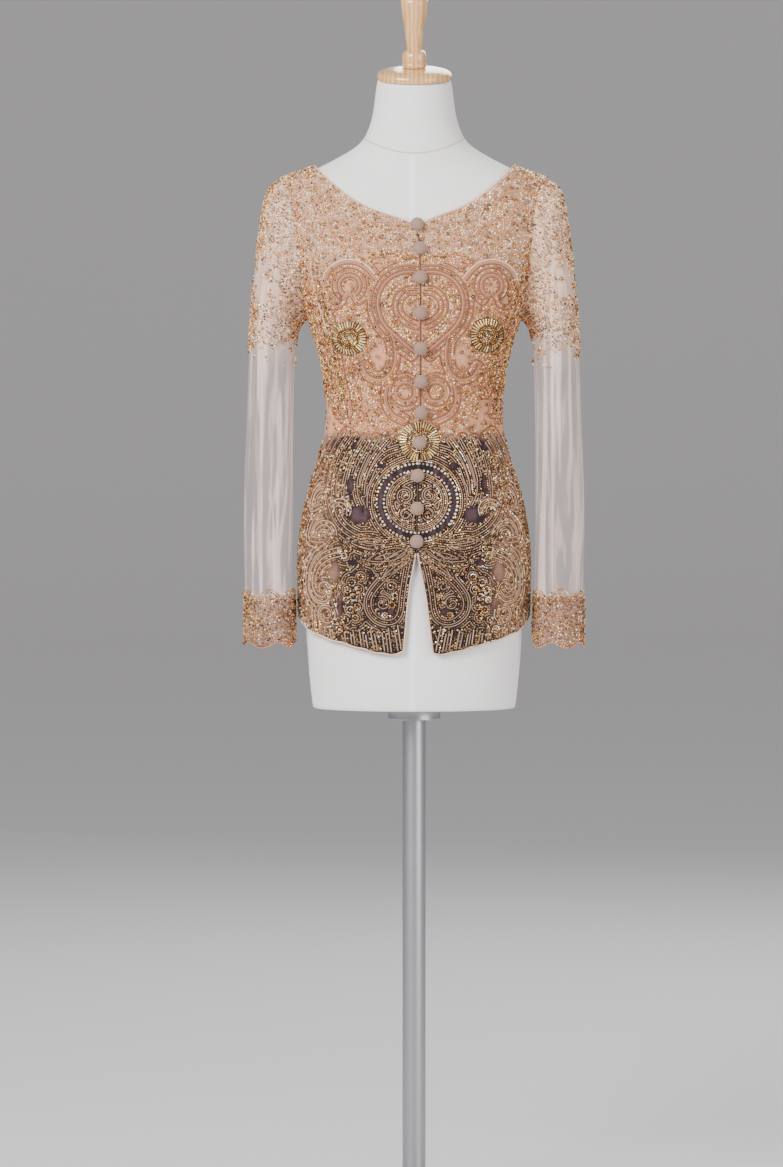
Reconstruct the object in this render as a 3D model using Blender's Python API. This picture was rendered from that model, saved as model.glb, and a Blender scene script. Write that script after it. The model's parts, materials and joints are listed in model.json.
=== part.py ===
"""Kebaya blouse with long sleeves and a scalloped peplum, worn by a limbless dress form on a pole stand.

The blouse stands as a shell of sewn panels round the form: two fronts, a back, two sleeves and a bodice
lining, with covered ball buttons down the front and beaded rosettes. The wearer faces -Y, the wearer's
left is +X, and +Z is up. Sizes are in millimetres until a mesh is made. The origin is on the floor, under
the pole.
"""

import math
from types import SimpleNamespace

import bmesh
import bpy
from mathutils import Matrix, Vector

MILLIMETRE = 0.001

# Cloth
WALL = 1.2  # the embroidered net, with its beads
LINING_WALL = 1.0
SEAM_GAP = 0.35  # between two pieces that are sewn together
LAYER_GAP = 0.7  # between the net and the lining behind it

# The blouse's outer surface, as rings about the body's own axis. A ring is two half superellipses that
# meet at the sides. "square" is the exponent: 2 is an ellipse, more is boxier, less is pointed, as where
# shoulders meet neck.
RING_COLUMNS = ("height", "half_width", "front", "back", "square", "centre_y")
RINGS = (
    (690.0, 147.0, 97.0, 108.0, 2.20, 0.0),
    (766.0, 154.5, 103.0, 117.0, 2.22, 0.0),
    (840.0, 158.5, 107.0, 124.0, 2.25, 0.0),
    (894.0, 159.0, 108.0, 126.0, 2.25, 0.0),
    (949.0, 153.5, 105.0, 119.0, 2.22, 0.0),
    (1004.0, 140.0, 98.0, 103.0, 2.15, 0.0),
    (1059.0, 123.5, 88.0, 86.0, 2.10, 0.0),
    (1093.0, 119.0, 85.0, 80.0, 2.10, 0.0),
    (1141.0, 123.0, 90.0, 84.0, 2.12, 0.0),
    (1196.0, 134.5, 104.0, 93.0, 2.20, 0.0),
    (1222.0, 144.5, 109.0, 97.0, 2.25, 0.0),
    (1247.0, 152.0, 109.0, 99.0, 2.30, 0.0),
    (1276.0, 161.5, 105.0, 101.0, 2.35, 0.0),
    (1318.0, 171.5, 95.0, 101.0, 2.35, 0.0),
    (1354.0, 179.5, 83.0, 98.0, 2.25, 0.0),
    (1380.0, 183.0, 75.0, 93.0, 2.08, 0.0),
    (1404.0, 184.5, 68.0, 86.0, 1.80, 0.0),
    (1413.0, 183.0, 65.5, 83.0, 1.66, 0.0),
    (1422.0, 161.0, 63.5, 80.0, 1.55, 0.0),
    (1431.0, 136.5, 62.0, 76.0, 1.46, 0.0),
    (1443.0, 107.0, 60.0, 69.0, 1.52, -1.0),
    (1456.0, 79.5, 58.0, 61.0, 1.75, -3.0),
    (1470.0, 66.0, 55.5, 55.0, 2.00, -5.0),
    (1497.0, 56.5, 52.0, 50.0, 2.00, -9.0),
    (1525.0, 53.5, 50.0, 50.0, 2.00, -14.0),
    (1547.0, 50.5, 49.0, 49.0, 2.00, -18.0),
)

# The bust's fullness, one soft swell a side, shaped by the front darts
BUST_HEIGHT = 1212.0
BUST_ANGLE = 40.0  # degrees from the centre front
BUST_SWELL = 10.0
BUST_SPREAD_HEIGHT = 42.0
BUST_SPREAD_ANGLE = 21.0

# Armhole: an upright oval from the underarm to the shoulder tip
UNDERARM_HEIGHT = 1222.0
SHOULDER_TIP_HEIGHT = 1413.0
ARMHOLE_FRONT_DEPTH = 46.0
ARMHOLE_BACK_DEPTH = 54.0
ARMHOLE_STEPS = 10  # along the front half, and along the back half
MITRE_LIMIT = 0.75  # cosine of half the angle between two walls, past which their mitre is cut short

# Neckline: a wide V in front, a shallow scoop behind, meeting at the neck end of the shoulder seam
NECK_POINT_HEIGHT = 1431.0
FRONT_NECK_COLUMNS = ("across", "height")
FRONT_NECK = (
    (0.0, 1353.5),
    (33.0, 1362.0),
    (71.0, 1376.0),
    (106.0, 1401.5),
    (136.5, 1431.0),
)
BACK_NECK_HEIGHT = 1398.0

# The front edge: the button line drifts a little to the wearer's left, and the edges part below the last
# button
FRONT_EDGE_COLUMNS = ("height", "drift", "parting")
FRONT_EDGE = (
    (766.0, 5.0, 21.5),
    (790.0, 5.0, 16.5),
    (807.0, 4.5, 16.0),
    (836.0, 4.0, 13.5),
    (862.0, 3.5, 9.5),
    (888.0, 3.0, 5.0),
    (908.0, 3.0, 0.0),
    (1000.0, 4.0, 0.0),
    (1100.0, 8.5, 0.0),
    (1300.0, 8.0, 0.0),
    (1354.0, 3.5, 0.0),
)

# Hem of the peplum between its scallops, by angle round the body: 0 the centre front, 90 the side seam,
# 180 the centre back
HEM_COLUMNS = ("angle", "height")
HEM = (
    (0.0, 779.0),
    (15.0, 770.0),
    (30.0, 774.5),
    (45.0, 783.0),
    (60.0, 791.5),
    (75.0, 804.0),
    (90.0, 821.0),
    (120.0, 811.0),
    (180.0, 800.0),
)
HEM_SCALLOPS = 6  # in each front, and in each half of the back
HEM_SCALLOP_DEPTH = 3.8
WAIST_HEIGHT = 1066.0  # where the peplum is sewn on, and the lining ends

# Grid of a panel, from its inner edge (the front edge, or the centre back) to the side seam and armhole
HEM_ROWS = 9
SIDE_ROWS = 6
PANEL_COLUMNS = 13
FRONT_NECK_ROWS = 6  # of the rows above the waist, those that start on the neckline
BACK_NECK_ROWS = 5
NECK_CROWDING = 1.35  # how much these crowd towards the neck point

# Sleeve, as rings that swing from the upright armhole to level: the ring's point at the underarm side,
# its point at the outer side, half its depth from front to back, and where its middle lies in Y
SLEEVE_COLUMNS = ("inner_x", "inner_z", "outer_x", "outer_z", "half_depth", "centre_y")
SLEEVE = (
    (148.5, 1219.0, 194.0, 1408.5, 50.5, 4.0),
    (153.0, 1214.5, 203.0, 1394.0, 51.0, 3.5),
    (157.0, 1209.0, 208.5, 1366.0, 51.0, 3.0),
    (159.0, 1203.0, 214.5, 1322.0, 50.5, 2.0),
    (160.5, 1195.0, 219.0, 1280.0, 50.0, 1.0),
    (161.5, 1182.0, 222.5, 1238.0, 49.0, 0.0),
    (162.5, 1163.0, 225.0, 1192.0, 48.0, -1.0),
    (164.0, 1130.0, 227.0, 1140.0, 47.0, -2.0),
    (165.0, 1085.0, 228.5, 1085.0, 45.5, -4.0),
    (165.5, 1030.0, 231.0, 1030.0, 43.5, -7.0),
    (165.5, 970.0, 233.0, 970.0, 41.0, -11.0),
    (165.0, 915.0, 233.0, 915.0, 38.0, -15.0),
    (164.0, 868.0, 232.0, 868.0, 35.0, -18.0),
    (162.5, 836.0, 233.0, 836.0, 33.0, -19.5),
    (162.0, 808.0, 233.0, 808.0, 32.0, -20.0),
    (162.0, 785.0, 232.5, 785.0, 31.5, -20.0),
)
CUFF_SCALLOPS = 5
CUFF_SCALLOP_DEPTH = 12.0

# Soft folds down the sleeve: where round the ring (0 underarm, 180 outer side, under 180 in front), how
# wide, how far out, and between which heights
FOLD_COLUMNS = ("around", "spread", "rise", "bottom", "top")
SLEEVE_FOLDS = (
    (52.0, 13.0, 2.6, 850.0, 1250.0),
    (88.0, 12.0, 3.0, 840.0, 1330.0),
    (126.0, 14.0, 2.4, 860.0, 1300.0),
    (205.0, 14.0, 2.4, 850.0, 1290.0),
    (252.0, 15.0, 3.0, 840.0, 1320.0),
    (305.0, 14.0, 2.6, 850.0, 1240.0),
)
FOLD_EASE = 70.0  # the height over which a fold dies out

# Lining of the bodice: how many of the panel's rows above the waist it reaches, by share of the panel's
# columns. In front it is a sweetheart top, behind it is nearly straight.
LINING_TOP_COLUMNS = ("share", "rows")
LINING_TOP_FRONT = ((0.0, 8.4), (0.15, 8.9), (0.4, 9.5), (0.7, 9.4), (1.0, 9.0))
LINING_TOP_BACK = ((0.0, 8.0), (0.5, 8.6), (1.0, 9.0))
LINING_ARMHOLE_INSET = 0.55  # of a panel column

# Covered ball buttons down the front edge
BUTTON_HEIGHTS = (1349.0, 1317.0, 1278.0, 1231.0, 1185.0, 1139.0, 1096.0, 1054.0, 1010.0, 966.0, 922.0)
BUTTON_RADIUS = 9.3
BUTTON_SEGMENTS = 12
# Half profile of a button, as shares of its radius: distance from its axis, height over the cloth
BUTTON_PROFILE = ((0.58, 0.0), (0.97, 0.34), (1.0, 0.62), (0.66, 1.16), (0.0, 1.32))

BUTTON_SEATS = ("front_left", "front_right", "rosette_waist_left", "rosette_waist_right")
SEAT_PROBES = 8
SEAT_REACH = 30.0  # a probe starts this far out

# Beaded rosettes: low domes that lie on a panel
ROSETTE_COLUMNS = ("name", "across", "height", "radius")
BUST_ROSETTES = (
    ("rosette_bust_right", -88.0, 1197.0, 24.0),
    ("rosette_bust_left", 98.0, 1201.0, 24.5),
)
WAIST_ROSETTE_HEIGHT = 1057.0
WAIST_ROSETTE_RADIUS = 28.0
ROSETTE_RISE = 3.2
ROSETTE_GAP = 0.75  # from the cloth to the points of its underside
ROSETTE_EDGE_FALL = 0.75  # of the rise, at the rim
ROSETTE_RINGS = 3
ROSETTE_PROBE = 1.2  # radius of the patch of cloth that carries each of its points
ROSETTE_SEGMENTS = 16

# Dress form and its stand
FORM_SEGMENTS = 36
FORM_ARMHOLE_CUT = 13.0  # how far its side plates lie inside the sleeve seams
# How far its skin lies inside the blouse's outer surface: loose at the hips, snug at the bust, bare above
# the neckline
FORM_INSET_COLUMNS = ("height", "inset")
FORM_INSET = (
    (690.0, 7.0),
    (1000.0, 7.0),
    (1060.0, 5.6),
    (1120.0, 4.9),
    (1180.0, 4.0),
    (1290.0, 4.0),
    (1330.0, 3.2),
    (1380.0, 3.0),
    (1404.0, 3.6),
    (1424.0, 3.6),
    (1431.0, 3.0),
    (1443.0, 1.0),
    (1456.0, 0.0),
    (1547.0, 0.0),
)
FORM_HEIGHTS = (
    690.0, 730.0, 790.0, 850.0, 900.0, 950.0, 1000.0, 1040.0, 1075.0, 1105.0, 1140.0, 1175.0, 1205.0, 1235.0,
    1265.0, 1300.0, 1335.0, 1365.0, 1388.0, 1404.0, 1413.0, 1422.0, 1431.0, 1443.0, 1456.0, 1470.0, 1497.0,
    1525.0, 1547.0,
)
NECK_TILT = 10.0  # degrees, forward, at the top of the neck
NECK_TILT_START = 1456.0
NECK_CAP_PROFILE = (
    (0.0, 0.0), (47.5, 0.0), (51.5, 5.0), (50.0, 10.0), (42.0, 14.0), (26.0, 16.5), (0.0, 17.0),
)
# Collar and tapered grip, turned in one piece
HANDLE_PROFILE = (
    (0.0, 0.0), (15.6, 0.0), (16.4, 3.0), (16.4, 17.0), (14.0, 22.0), (10.0, 23.5), (11.0, 34.0), (18.2, 86.0),
    (18.8, 90.0), (16.5, 94.5), (9.0, 97.0), (0.0, 97.5),
)
TURNED_SEGMENTS = 24
BASE_RADIUS = 185.0
BASE_THICKNESS = 14.0
BASE_EDGE = 4.0
POLE_RADIUS = 16.0
COLLAR_RADIUS = 36.0
COLLAR_THICKNESS = 16.0
STAND_GAP = 0.3

# name: colour, roughness, metallic
MATERIALS = {
    "net": ((0.79, 0.60, 0.47, 1.0), 0.55, 0.0),
    "sleeve_net": ((0.80, 0.72, 0.68, 1.0), 0.6, 0.0),
    "lining": ((0.78, 0.53, 0.46, 1.0), 0.45, 0.0),
    "beads": ((0.72, 0.52, 0.27, 1.0), 0.3, 0.6),
    "button": ((0.52, 0.40, 0.36, 1.0), 0.7, 0.0),
    "linen": ((0.80, 0.78, 0.75, 1.0), 0.85, 0.0),
    "wood": ((0.72, 0.47, 0.24, 1.0), 0.3, 0.0),
    "steel": ((0.60, 0.60, 0.62, 1.0), 0.35, 1.0),
}


def named(columns, rows):
    """The rows of a table, each with its columns as names."""
    return [SimpleNamespace(**dict(zip(columns, row))) for row in rows]


def column(columns, rows, x_name, y_name):
    """A smooth curve through one column of a table, as a function of another."""
    xs = [row[columns.index(x_name)] for row in rows]
    ys = [row[columns.index(y_name)] for row in rows]
    chords = [(ys[i + 1] - ys[i]) / (xs[i + 1] - xs[i]) for i in range(len(xs) - 1)]
    slopes = [chords[0]]
    for before, after in zip(chords, chords[1:]):
        flat = before * after <= 0
        slopes.append(0.0 if flat else 2 * before * after / (before + after))
    slopes.append(chords[-1])

    def value(x):
        x = min(max(x, xs[0]), xs[-1])
        i = min(sum(1 for edge in xs[1:-1] if edge <= x), len(xs) - 2)
        step = xs[i + 1] - xs[i]
        t = (x - xs[i]) / step
        rise = (2 * t**3 - 3 * t**2 + 1) * ys[i] + (3 * t**2 - 2 * t**3) * ys[i + 1]
        bend = (t**3 - 2 * t**2 + t) * slopes[i] + (t**3 - t**2) * slopes[i + 1]
        return rise + bend * step

    return value


half_width_at = column(RING_COLUMNS, RINGS, "height", "half_width")
front_at = column(RING_COLUMNS, RINGS, "height", "front")
back_at = column(RING_COLUMNS, RINGS, "height", "back")
square_at = column(RING_COLUMNS, RINGS, "height", "square")
centre_y_at = column(RING_COLUMNS, RINGS, "height", "centre_y")
front_neck_at = column(FRONT_NECK_COLUMNS, FRONT_NECK, "across", "height")
drift_at = column(FRONT_EDGE_COLUMNS, FRONT_EDGE, "height", "drift")
parting_at = column(FRONT_EDGE_COLUMNS, FRONT_EDGE, "height", "parting")
hem_at = column(HEM_COLUMNS, HEM, "angle", "height")
lining_front_at = column(LINING_TOP_COLUMNS, LINING_TOP_FRONT, "share", "rows")
lining_back_at = column(LINING_TOP_COLUMNS, LINING_TOP_BACK, "share", "rows")
form_inset_at = column(FORM_INSET_COLUMNS, FORM_INSET, "height", "inset")


def mix(a, b, t):
    return a + (b - a) * t


def ease(t):
    """0 to 1 with soft ends."""
    t = min(max(t, 0.0), 1.0)
    return t * t * (3 - 2 * t)


def swell(distance, spread):
    return math.exp(-0.5 * (distance / spread) ** 2)


def body_point(angle, height):
    """The blouse's outer surface. angle is in degrees: 0 the centre front, 90 the wearer's left, 180 the
    back."""
    turn = math.radians(angle)
    across, along = math.sin(turn), math.cos(turn)
    depth = front_at(height) if along > 0 else back_at(height)
    square = square_at(height)
    reach = (abs(across) / half_width_at(height)) ** square + (abs(along) / depth) ** square
    reach = reach ** (-1 / square)
    off_bust = abs((angle + 180) % 360 - 180) - BUST_ANGLE
    reach += BUST_SWELL * swell(off_bust, BUST_SPREAD_ANGLE) * swell(height - BUST_HEIGHT, BUST_SPREAD_HEIGHT)
    return Vector((reach * across, centre_y_at(height) - reach * along, height))


def body_normal(angle, height):
    """The outward direction there. Across the shoulder ridge it is the mean of both slopes."""
    around = body_point(angle + 1.5, height) - body_point(angle - 1.5, height)
    up = body_point(angle, height + 1.0) - body_point(angle, height - 1.0)
    return around.cross(up).normalized()


def angle_across(across, height):
    """The angle in front at which the surface lies that far from the middle."""
    low, high = -89.0, 89.0
    for _ in range(40):
        middle = (low + high) / 2
        if body_point(middle, height).x < across:
            low = middle
        else:
            high = middle
    return (low + high) / 2


def crowded(curve, count):
    """count places after the start of a curve of (angle, height), a function of 0 to 1, with steps that
    shorten towards its end."""
    samples = 40 * count
    points = [body_point(*curve(i / samples)) for i in range(samples + 1)]
    lengths = [0.0]
    for a, b in zip(points, points[1:]):
        lengths.append(lengths[-1] + (b - a).length)
    places, i = [], 0
    for k in range(1, count):
        length = lengths[-1] * (1 - (1 - k / count) ** NECK_CROWDING)
        while lengths[i + 1] < length:
            i += 1
        part = (length - lengths[i]) / (lengths[i + 1] - lengths[i])
        places.append(curve((i + part) / samples))
    return places + [curve(1.0)]


def armhole_edge(step):
    """(angle, height) on the armhole: step 0 is the underarm, ARMHOLE_STEPS the shoulder tip, and on round
    the back."""
    phase = math.pi * step / ARMHOLE_STEPS
    middle = (UNDERARM_HEIGHT + SHOULDER_TIP_HEIGHT) / 2
    height = middle - (SHOULDER_TIP_HEIGHT - UNDERARM_HEIGHT) / 2 * math.cos(phase)
    in_front = math.sin(phase) >= 0
    out = abs(math.sin(phase)) * (ARMHOLE_FRONT_DEPTH if in_front else ARMHOLE_BACK_DEPTH)
    depth = front_at(height) if in_front else back_at(height)
    square = square_at(height)
    across = half_width_at(height) * max(1 - (out / depth) ** square, 0.0) ** (1 / square)
    off_front = math.degrees(math.atan2(across, out))
    return (off_front if in_front else 180 - off_front), height


def sleeve_outline():
    """Rings of the wearer's left sleeve's outer surface, without folds. Each starts at the underarm and
    runs forward."""
    count = 2 * ARMHOLE_STEPS
    rings = [[body_point(*armhole_edge(step)) for step in range(count)]]
    for row in named(SLEEVE_COLUMNS, SLEEVE):
        inside, outside = Vector((row.inner_x, 0, row.inner_z)), Vector((row.outer_x, 0, row.outer_z))
        middle = (inside + outside) / 2 + Vector((0, row.centre_y, 0))
        ring = []
        for step in range(count):
            phase = math.pi * step / ARMHOLE_STEPS
            across = (outside - inside) / 2 * math.cos(phase)
            ring.append(middle - across - Vector((0, row.half_depth * math.sin(phase), 0)))
        rings.append(ring)
    return rings


def sleeve_normals(rings):
    """Outward directions on rings of points that close on themselves."""
    count = len(rings[0])
    found = []
    for row, ring in enumerate(rings):
        above = rings[max(row - 1, 0)]
        below = rings[min(row + 1, len(rings) - 1)]
        arounds = [ring[(k + 1) % count] - ring[k - 1] for k in range(count)]
        found.append([arounds[k].cross(above[k] - below[k]).normalized() for k in range(count)])
    return found


def armhole_seam():
    """For each step round the armhole of the wearer's left: the seam point, the way into the wall, and the
    way from the panel to the sleeve. The two walls are mitred there, most at the underarm, where they
    fold back."""
    rings = sleeve_outline()
    on_sleeve = sleeve_normals(rings)[0]
    count = len(on_sleeve)
    seam = []
    for step in range(count):
        outward = body_normal(*armhole_edge(step)) + on_sleeve[step]
        half_angle_cosine = max(outward.length / 2, MITRE_LIMIT)
        inward = -outward.normalized()
        along = (rings[0][(step + 1) % count] - rings[0][step - 1]).normalized()
        across = inward.cross(along).normalized()
        seam.append((rings[0][step], inward * (WALL / half_angle_cosine), across))
    return seam


ARMHOLE_SEAM = armhole_seam()


def mirrored(point):
    return Vector((-point.x, point.y, point.z))


def make_object(name, mesh_builder, material_name):
    """One named object from a bmesh in millimetres, scaled to metres, with its material."""
    mesh = bpy.data.meshes.new(name)
    bmesh.ops.scale(mesh_builder, vec=(MILLIMETRE,) * 3, verts=mesh_builder.verts)
    bmesh.ops.recalc_face_normals(mesh_builder, faces=mesh_builder.faces)
    mesh_builder.to_mesh(mesh)
    mesh_builder.free()
    for polygon in mesh.polygons:
        polygon.use_smooth = True
    mesh.set_sharp_from_angle(angle=math.radians(40))
    mesh.materials.append(material_of(material_name))
    made = bpy.data.objects.new(name, mesh)
    bpy.context.scene.collection.objects.link(made)
    return made


def material_of(name):
    found = bpy.data.materials.get(name)
    if found:
        return found
    colour, roughness, metallic = MATERIALS[name]
    made = bpy.data.materials.new(name)
    made.use_nodes = True
    shader = made.node_tree.nodes["Principled BSDF"]
    shader.inputs["Base Color"].default_value = colour
    shader.inputs["Roughness"].default_value = roughness
    shader.inputs["Metallic"].default_value = metallic
    return made


def add_wall(builder, outer, inner, closed=False, joined_rows=0):
    """Adds a wall between two grids of points. closed joins the last column to the first, as on a tube.
    joined_rows leaves the first column without an edge up to that row, where the wall meets its mirror
    image. Each cell is halved the same way, so that walls made from one grid lie evenly on each other."""
    rows, columns = len(outer), len(outer[0])
    skins = [[[builder.verts.new(p) for p in row] for row in grid] for grid in (outer, inner)]
    spans = columns if closed else columns - 1

    def cell(a, b, c, d):
        builder.faces.new((a, b, c))
        builder.faces.new((a, c, d))

    for skin in skins:
        for r in range(rows - 1):
            for c in range(spans):
                d = (c + 1) % columns
                cell(skin[r][c], skin[r][d], skin[r + 1][d], skin[r + 1][c])
    for r in (0, rows - 1):
        for c in range(spans):
            d = (c + 1) % columns
            cell(skins[0][r][c], skins[0][r][d], skins[1][r][d], skins[1][r][c])
    if not closed:
        for c, first in ((0, joined_rows), (columns - 1, 0)):
            for r in range(first, rows - 1):
                cell(skins[0][r][c], skins[0][r + 1][c], skins[1][r + 1][c], skins[1][r][c])


def finish_wall(name, builder, material_name):
    bmesh.ops.remove_doubles(builder, verts=builder.verts, dist=0.01)
    loose = [edge for edge in builder.edges if not edge.link_faces]
    bmesh.ops.delete(builder, geom=loose, context="EDGES")
    return make_object(name, builder, material_name)


def wall(name, outer, inner, material_name, closed=False):
    builder = bmesh.new()
    add_wall(builder, outer, inner, closed)
    return finish_wall(name, builder, material_name)


def hem_height(angle, share):
    """The scalloped hem at that angle, a share of the way across its panel."""
    off_front = abs((angle + 180) % 360 - 180)
    return hem_at(off_front) - HEM_SCALLOP_DEPTH * abs(math.sin(math.pi * HEM_SCALLOPS * share))


def front_edge_angle(side, height):
    """Where the front edge lies, in the mirrored frame of that side: 1 the wearer's left, -1 the wearer's
    right."""
    return angle_across(side * drift_at(height) + parting_at(height) + SEAM_GAP / 2, height)


def seam_angle(height):
    """The angle that half a seam gap takes at the side seam."""
    return math.degrees(SEAM_GAP / 2 / half_width_at(height))


class Panel:
    """A front (side 1 or -1) or one half of the back (side 0), as a grid of (angle, height) places. Its
    rows run from the front edge or centre back, and then the neckline, to the side seam and then the
    armhole. The last row is the shoulder seam."""

    def __init__(self, side):
        self.side = side
        self.behind = side == 0
        self.places = [self.hem_row(row / HEM_ROWS) for row in range(HEM_ROWS)]
        for row, start in enumerate(self.inner_places()):
            end = self.outer_edge(row)
            line = []
            for column in range(PANEL_COLUMNS):
                share = column / (PANEL_COLUMNS - 1)
                line.append((mix(start[0], end[0], share), mix(start[1], end[1], share)))
            self.places.append(line)

    def inner_edge(self, height):
        return 180.0 if self.behind else front_edge_angle(self.side, height)

    def seam(self, height):
        return 90 + seam_angle(height) if self.behind else 90 - seam_angle(height)

    def hem_row(self, rise):
        row = []
        for column in range(PANEL_COLUMNS):
            share = column / (PANEL_COLUMNS - 1)
            angle = mix(self.inner_edge(mix(hem_at(0), WAIST_HEIGHT, rise)), self.seam(hem_at(90)), share)
            height = mix(hem_height(angle, share), WAIST_HEIGHT, rise)
            row.append((mix(self.inner_edge(height), self.seam(height), share), height))
        return row

    def inner_places(self):
        """Up the front edge or centre back from the waist, then along the neckline."""
        neck_rows = BACK_NECK_ROWS if self.behind else FRONT_NECK_ROWS
        below = SIDE_ROWS + ARMHOLE_STEPS - neck_rows
        top = BACK_NECK_HEIGHT if self.behind else FRONT_NECK[0][1]
        heights = [mix(WAIST_HEIGHT, top, row / below) for row in range(below + 1)]
        return [(self.inner_edge(height), height) for height in heights] + crowded(self.neckline, neck_rows)

    def neckline(self, share):
        """(angle, height) from the front edge or centre back (0) to the neck point (1)."""
        end = self.seam(NECK_POINT_HEIGHT)
        if self.behind:
            return mix(180.0, end, share), mix(BACK_NECK_HEIGHT, NECK_POINT_HEIGHT, share**2)
        start = self.side * drift_at(FRONT_NECK[0][1]) + SEAM_GAP / 2
        across = mix(start, FRONT_NECK[-1][0], share)
        height = front_neck_at(across)
        return (end if share >= 1 else min(angle_across(across, height), end)), height

    def armhole_step(self, row):
        """The step on the armhole seam that a row ends at, or None at the side seam."""
        step = row - SIDE_ROWS
        if step < 0:
            return None
        return (2 * ARMHOLE_STEPS - step) % (2 * ARMHOLE_STEPS) if self.behind else step

    def outer_edge(self, row):
        step = self.armhole_step(row)
        if step is None:
            height = mix(WAIST_HEIGHT, UNDERARM_HEIGHT, row / SIDE_ROWS)
            return self.seam(height), height
        angle, height = armhole_edge(step)
        return (self.seam(height) if step in (0, ARMHOLE_STEPS) else angle), height

    def skins(self):
        """Rows of (outer point, inner point) of the net."""
        found = []
        for row, places in enumerate(self.places):
            line = []
            for angle, height in places:
                point = body_point(angle, height)
                line.append((point, point - body_normal(angle, height) * WALL))
            step = self.armhole_step(row - HEM_ROWS)
            if step is not None:
                _, inward, across = ARMHOLE_SEAM[step]
                point = line[-1][0] - across * (SEAM_GAP / 2)
                line[-1] = (point, point + inward)
            found.append(line)
        return found

    def lining_skins(self):
        """Rows of (outer point, inner point) of the lining, on the net's own grid, just inside it."""
        top_at = lining_back_at if self.behind else lining_front_at
        tallest = max(top_at(column / (PANEL_COLUMNS - 1)) for column in range(PANEL_COLUMNS))
        depths = (WALL + LAYER_GAP, WALL + LAYER_GAP + LINING_WALL)
        found = []
        for row in range(math.ceil(tallest) + 1):
            line = []
            for column in range(PANEL_COLUMNS):
                level = min(row, top_at(column / (PANEL_COLUMNS - 1)))
                below = HEM_ROWS + int(level)
                angle, height = self.place(below, level - int(level), column)
                if column == PANEL_COLUMNS - 1 and level > SIDE_ROWS - 1:
                    inner_angle, inner_height = self.place(below, level - int(level), column - 1)
                    inset = LINING_ARMHOLE_INSET * ease(level - SIDE_ROWS + 1)
                    angle, height = mix(angle, inner_angle, inset), mix(height, inner_height, inset)
                point, out = body_point(angle, height), body_normal(angle, height)
                line.append(tuple(point - out * depth for depth in depths))
            found.append(line)
        return found

    def place(self, below, part, column):
        """(angle, height) part of the way from one row to the next."""
        low = self.places[below][column]
        high = self.places[min(below + 1, len(self.places) - 1)][column]
        return mix(low[0], high[0], part), mix(low[1], high[1], part)


SIDE_NAMES = {1: "left", -1: "right"}


def panel_wall(name, rows, side, joined_rows, material_name):
    """A wall from rows of point pairs. side -1 mirrors it. side 0 makes both it and its mirror image,
    joined at the centre back as far up as joined_rows."""
    builder = bmesh.new()
    for hand in (side,) if side else SIDE_NAMES:
        skins = []
        for skin in (0, 1):
            points = [[pair[skin] for pair in row] for row in rows]
            skins.append(points if hand > 0 else [[mirrored(point) for point in row] for row in points])
        add_wall(builder, *skins, joined_rows=0 if side else joined_rows)
    finish_wall(name, builder, material_name)


def panels():
    for side, name in {**SIDE_NAMES, 0: "back"}.items():
        panel = Panel(side)
        panel_name = f"front_{name}" if side else name
        neck_rows = BACK_NECK_ROWS if panel.behind else FRONT_NECK_ROWS
        panel_wall(panel_name, panel.skins(), side, len(panel.places) - 1 - neck_rows, "net")
        lining = panel.lining_skins()
        panel_wall(f"lining_{panel_name}", lining, side, len(lining) - 1, "lining")


def fold_rise(around, height):
    """How far the folds lift the sleeve there."""
    rise = 0.0
    for fold in named(FOLD_COLUMNS, SLEEVE_FOLDS):
        off = (around - fold.around + 180) % 360 - 180
        fade = ease((height - fold.bottom) / FOLD_EASE) * ease((fold.top - height) / FOLD_EASE)
        rise += fold.rise * swell(off, fold.spread) * fade
    return rise


def sleeve(side):
    """A long sleeve, with its folds and scalloped cuff edge."""
    rings = sleeve_outline()
    normals = sleeve_normals(rings)
    count = len(rings[0])
    outer, inner = [], []
    for row, ring in enumerate(rings):
        outer_ring, inner_ring = [], []
        for k, point in enumerate(ring):
            around = 360.0 * k / count
            out = normals[row][k]
            place = point + out * fold_rise(around, point.z)
            if row == len(rings) - 1:
                place.z -= CUFF_SCALLOP_DEPTH * abs(math.sin(math.radians(around * CUFF_SCALLOPS / 2)))
            inside = place - out * WALL
            if row == 0:
                _, inward, across = ARMHOLE_SEAM[k]
                place = point + across * (SEAM_GAP / 2)
                inside = place + inward
            if side < 0:
                place, inside = mirrored(place), mirrored(inside)
            outer_ring.append(place)
            inner_ring.append(inside)
        outer.append(outer_ring)
        inner.append(inner_ring)
    return wall(f"sleeve_{SIDE_NAMES[side]}", outer, inner, "sleeve_net", closed=True)


def turned(name, profile, segments, material_name):
    """A turned solid about +Z from a half profile of (radius, height), its ends on the axis or flat."""
    builder = bmesh.new()
    points = [builder.verts.new((radius, 0, height)) for radius, height in profile]
    edges = [builder.edges.new(pair) for pair in zip(points, points[1:])]
    bmesh.ops.spin(
        builder, geom=points + edges, cent=(0, 0, 0), axis=(0, 0, 1), angle=2 * math.pi, steps=segments
    )
    bmesh.ops.remove_doubles(builder, verts=builder.verts, dist=0.001)
    rims = [edge for edge in builder.edges if edge.is_boundary]
    if rims:
        bmesh.ops.holes_fill(builder, edges=rims, sides=0)
    return make_object(name, builder, material_name)


def stand_on(made, point, outward):
    """Turns a piece's +Z to outward and sets it down at a point given in millimetres."""
    turn = Vector((0, 0, 1)).rotation_difference(outward).to_matrix().to_4x4()
    made.matrix_world = Matrix.Translation(point * MILLIMETRE) @ turn
    return made


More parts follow.
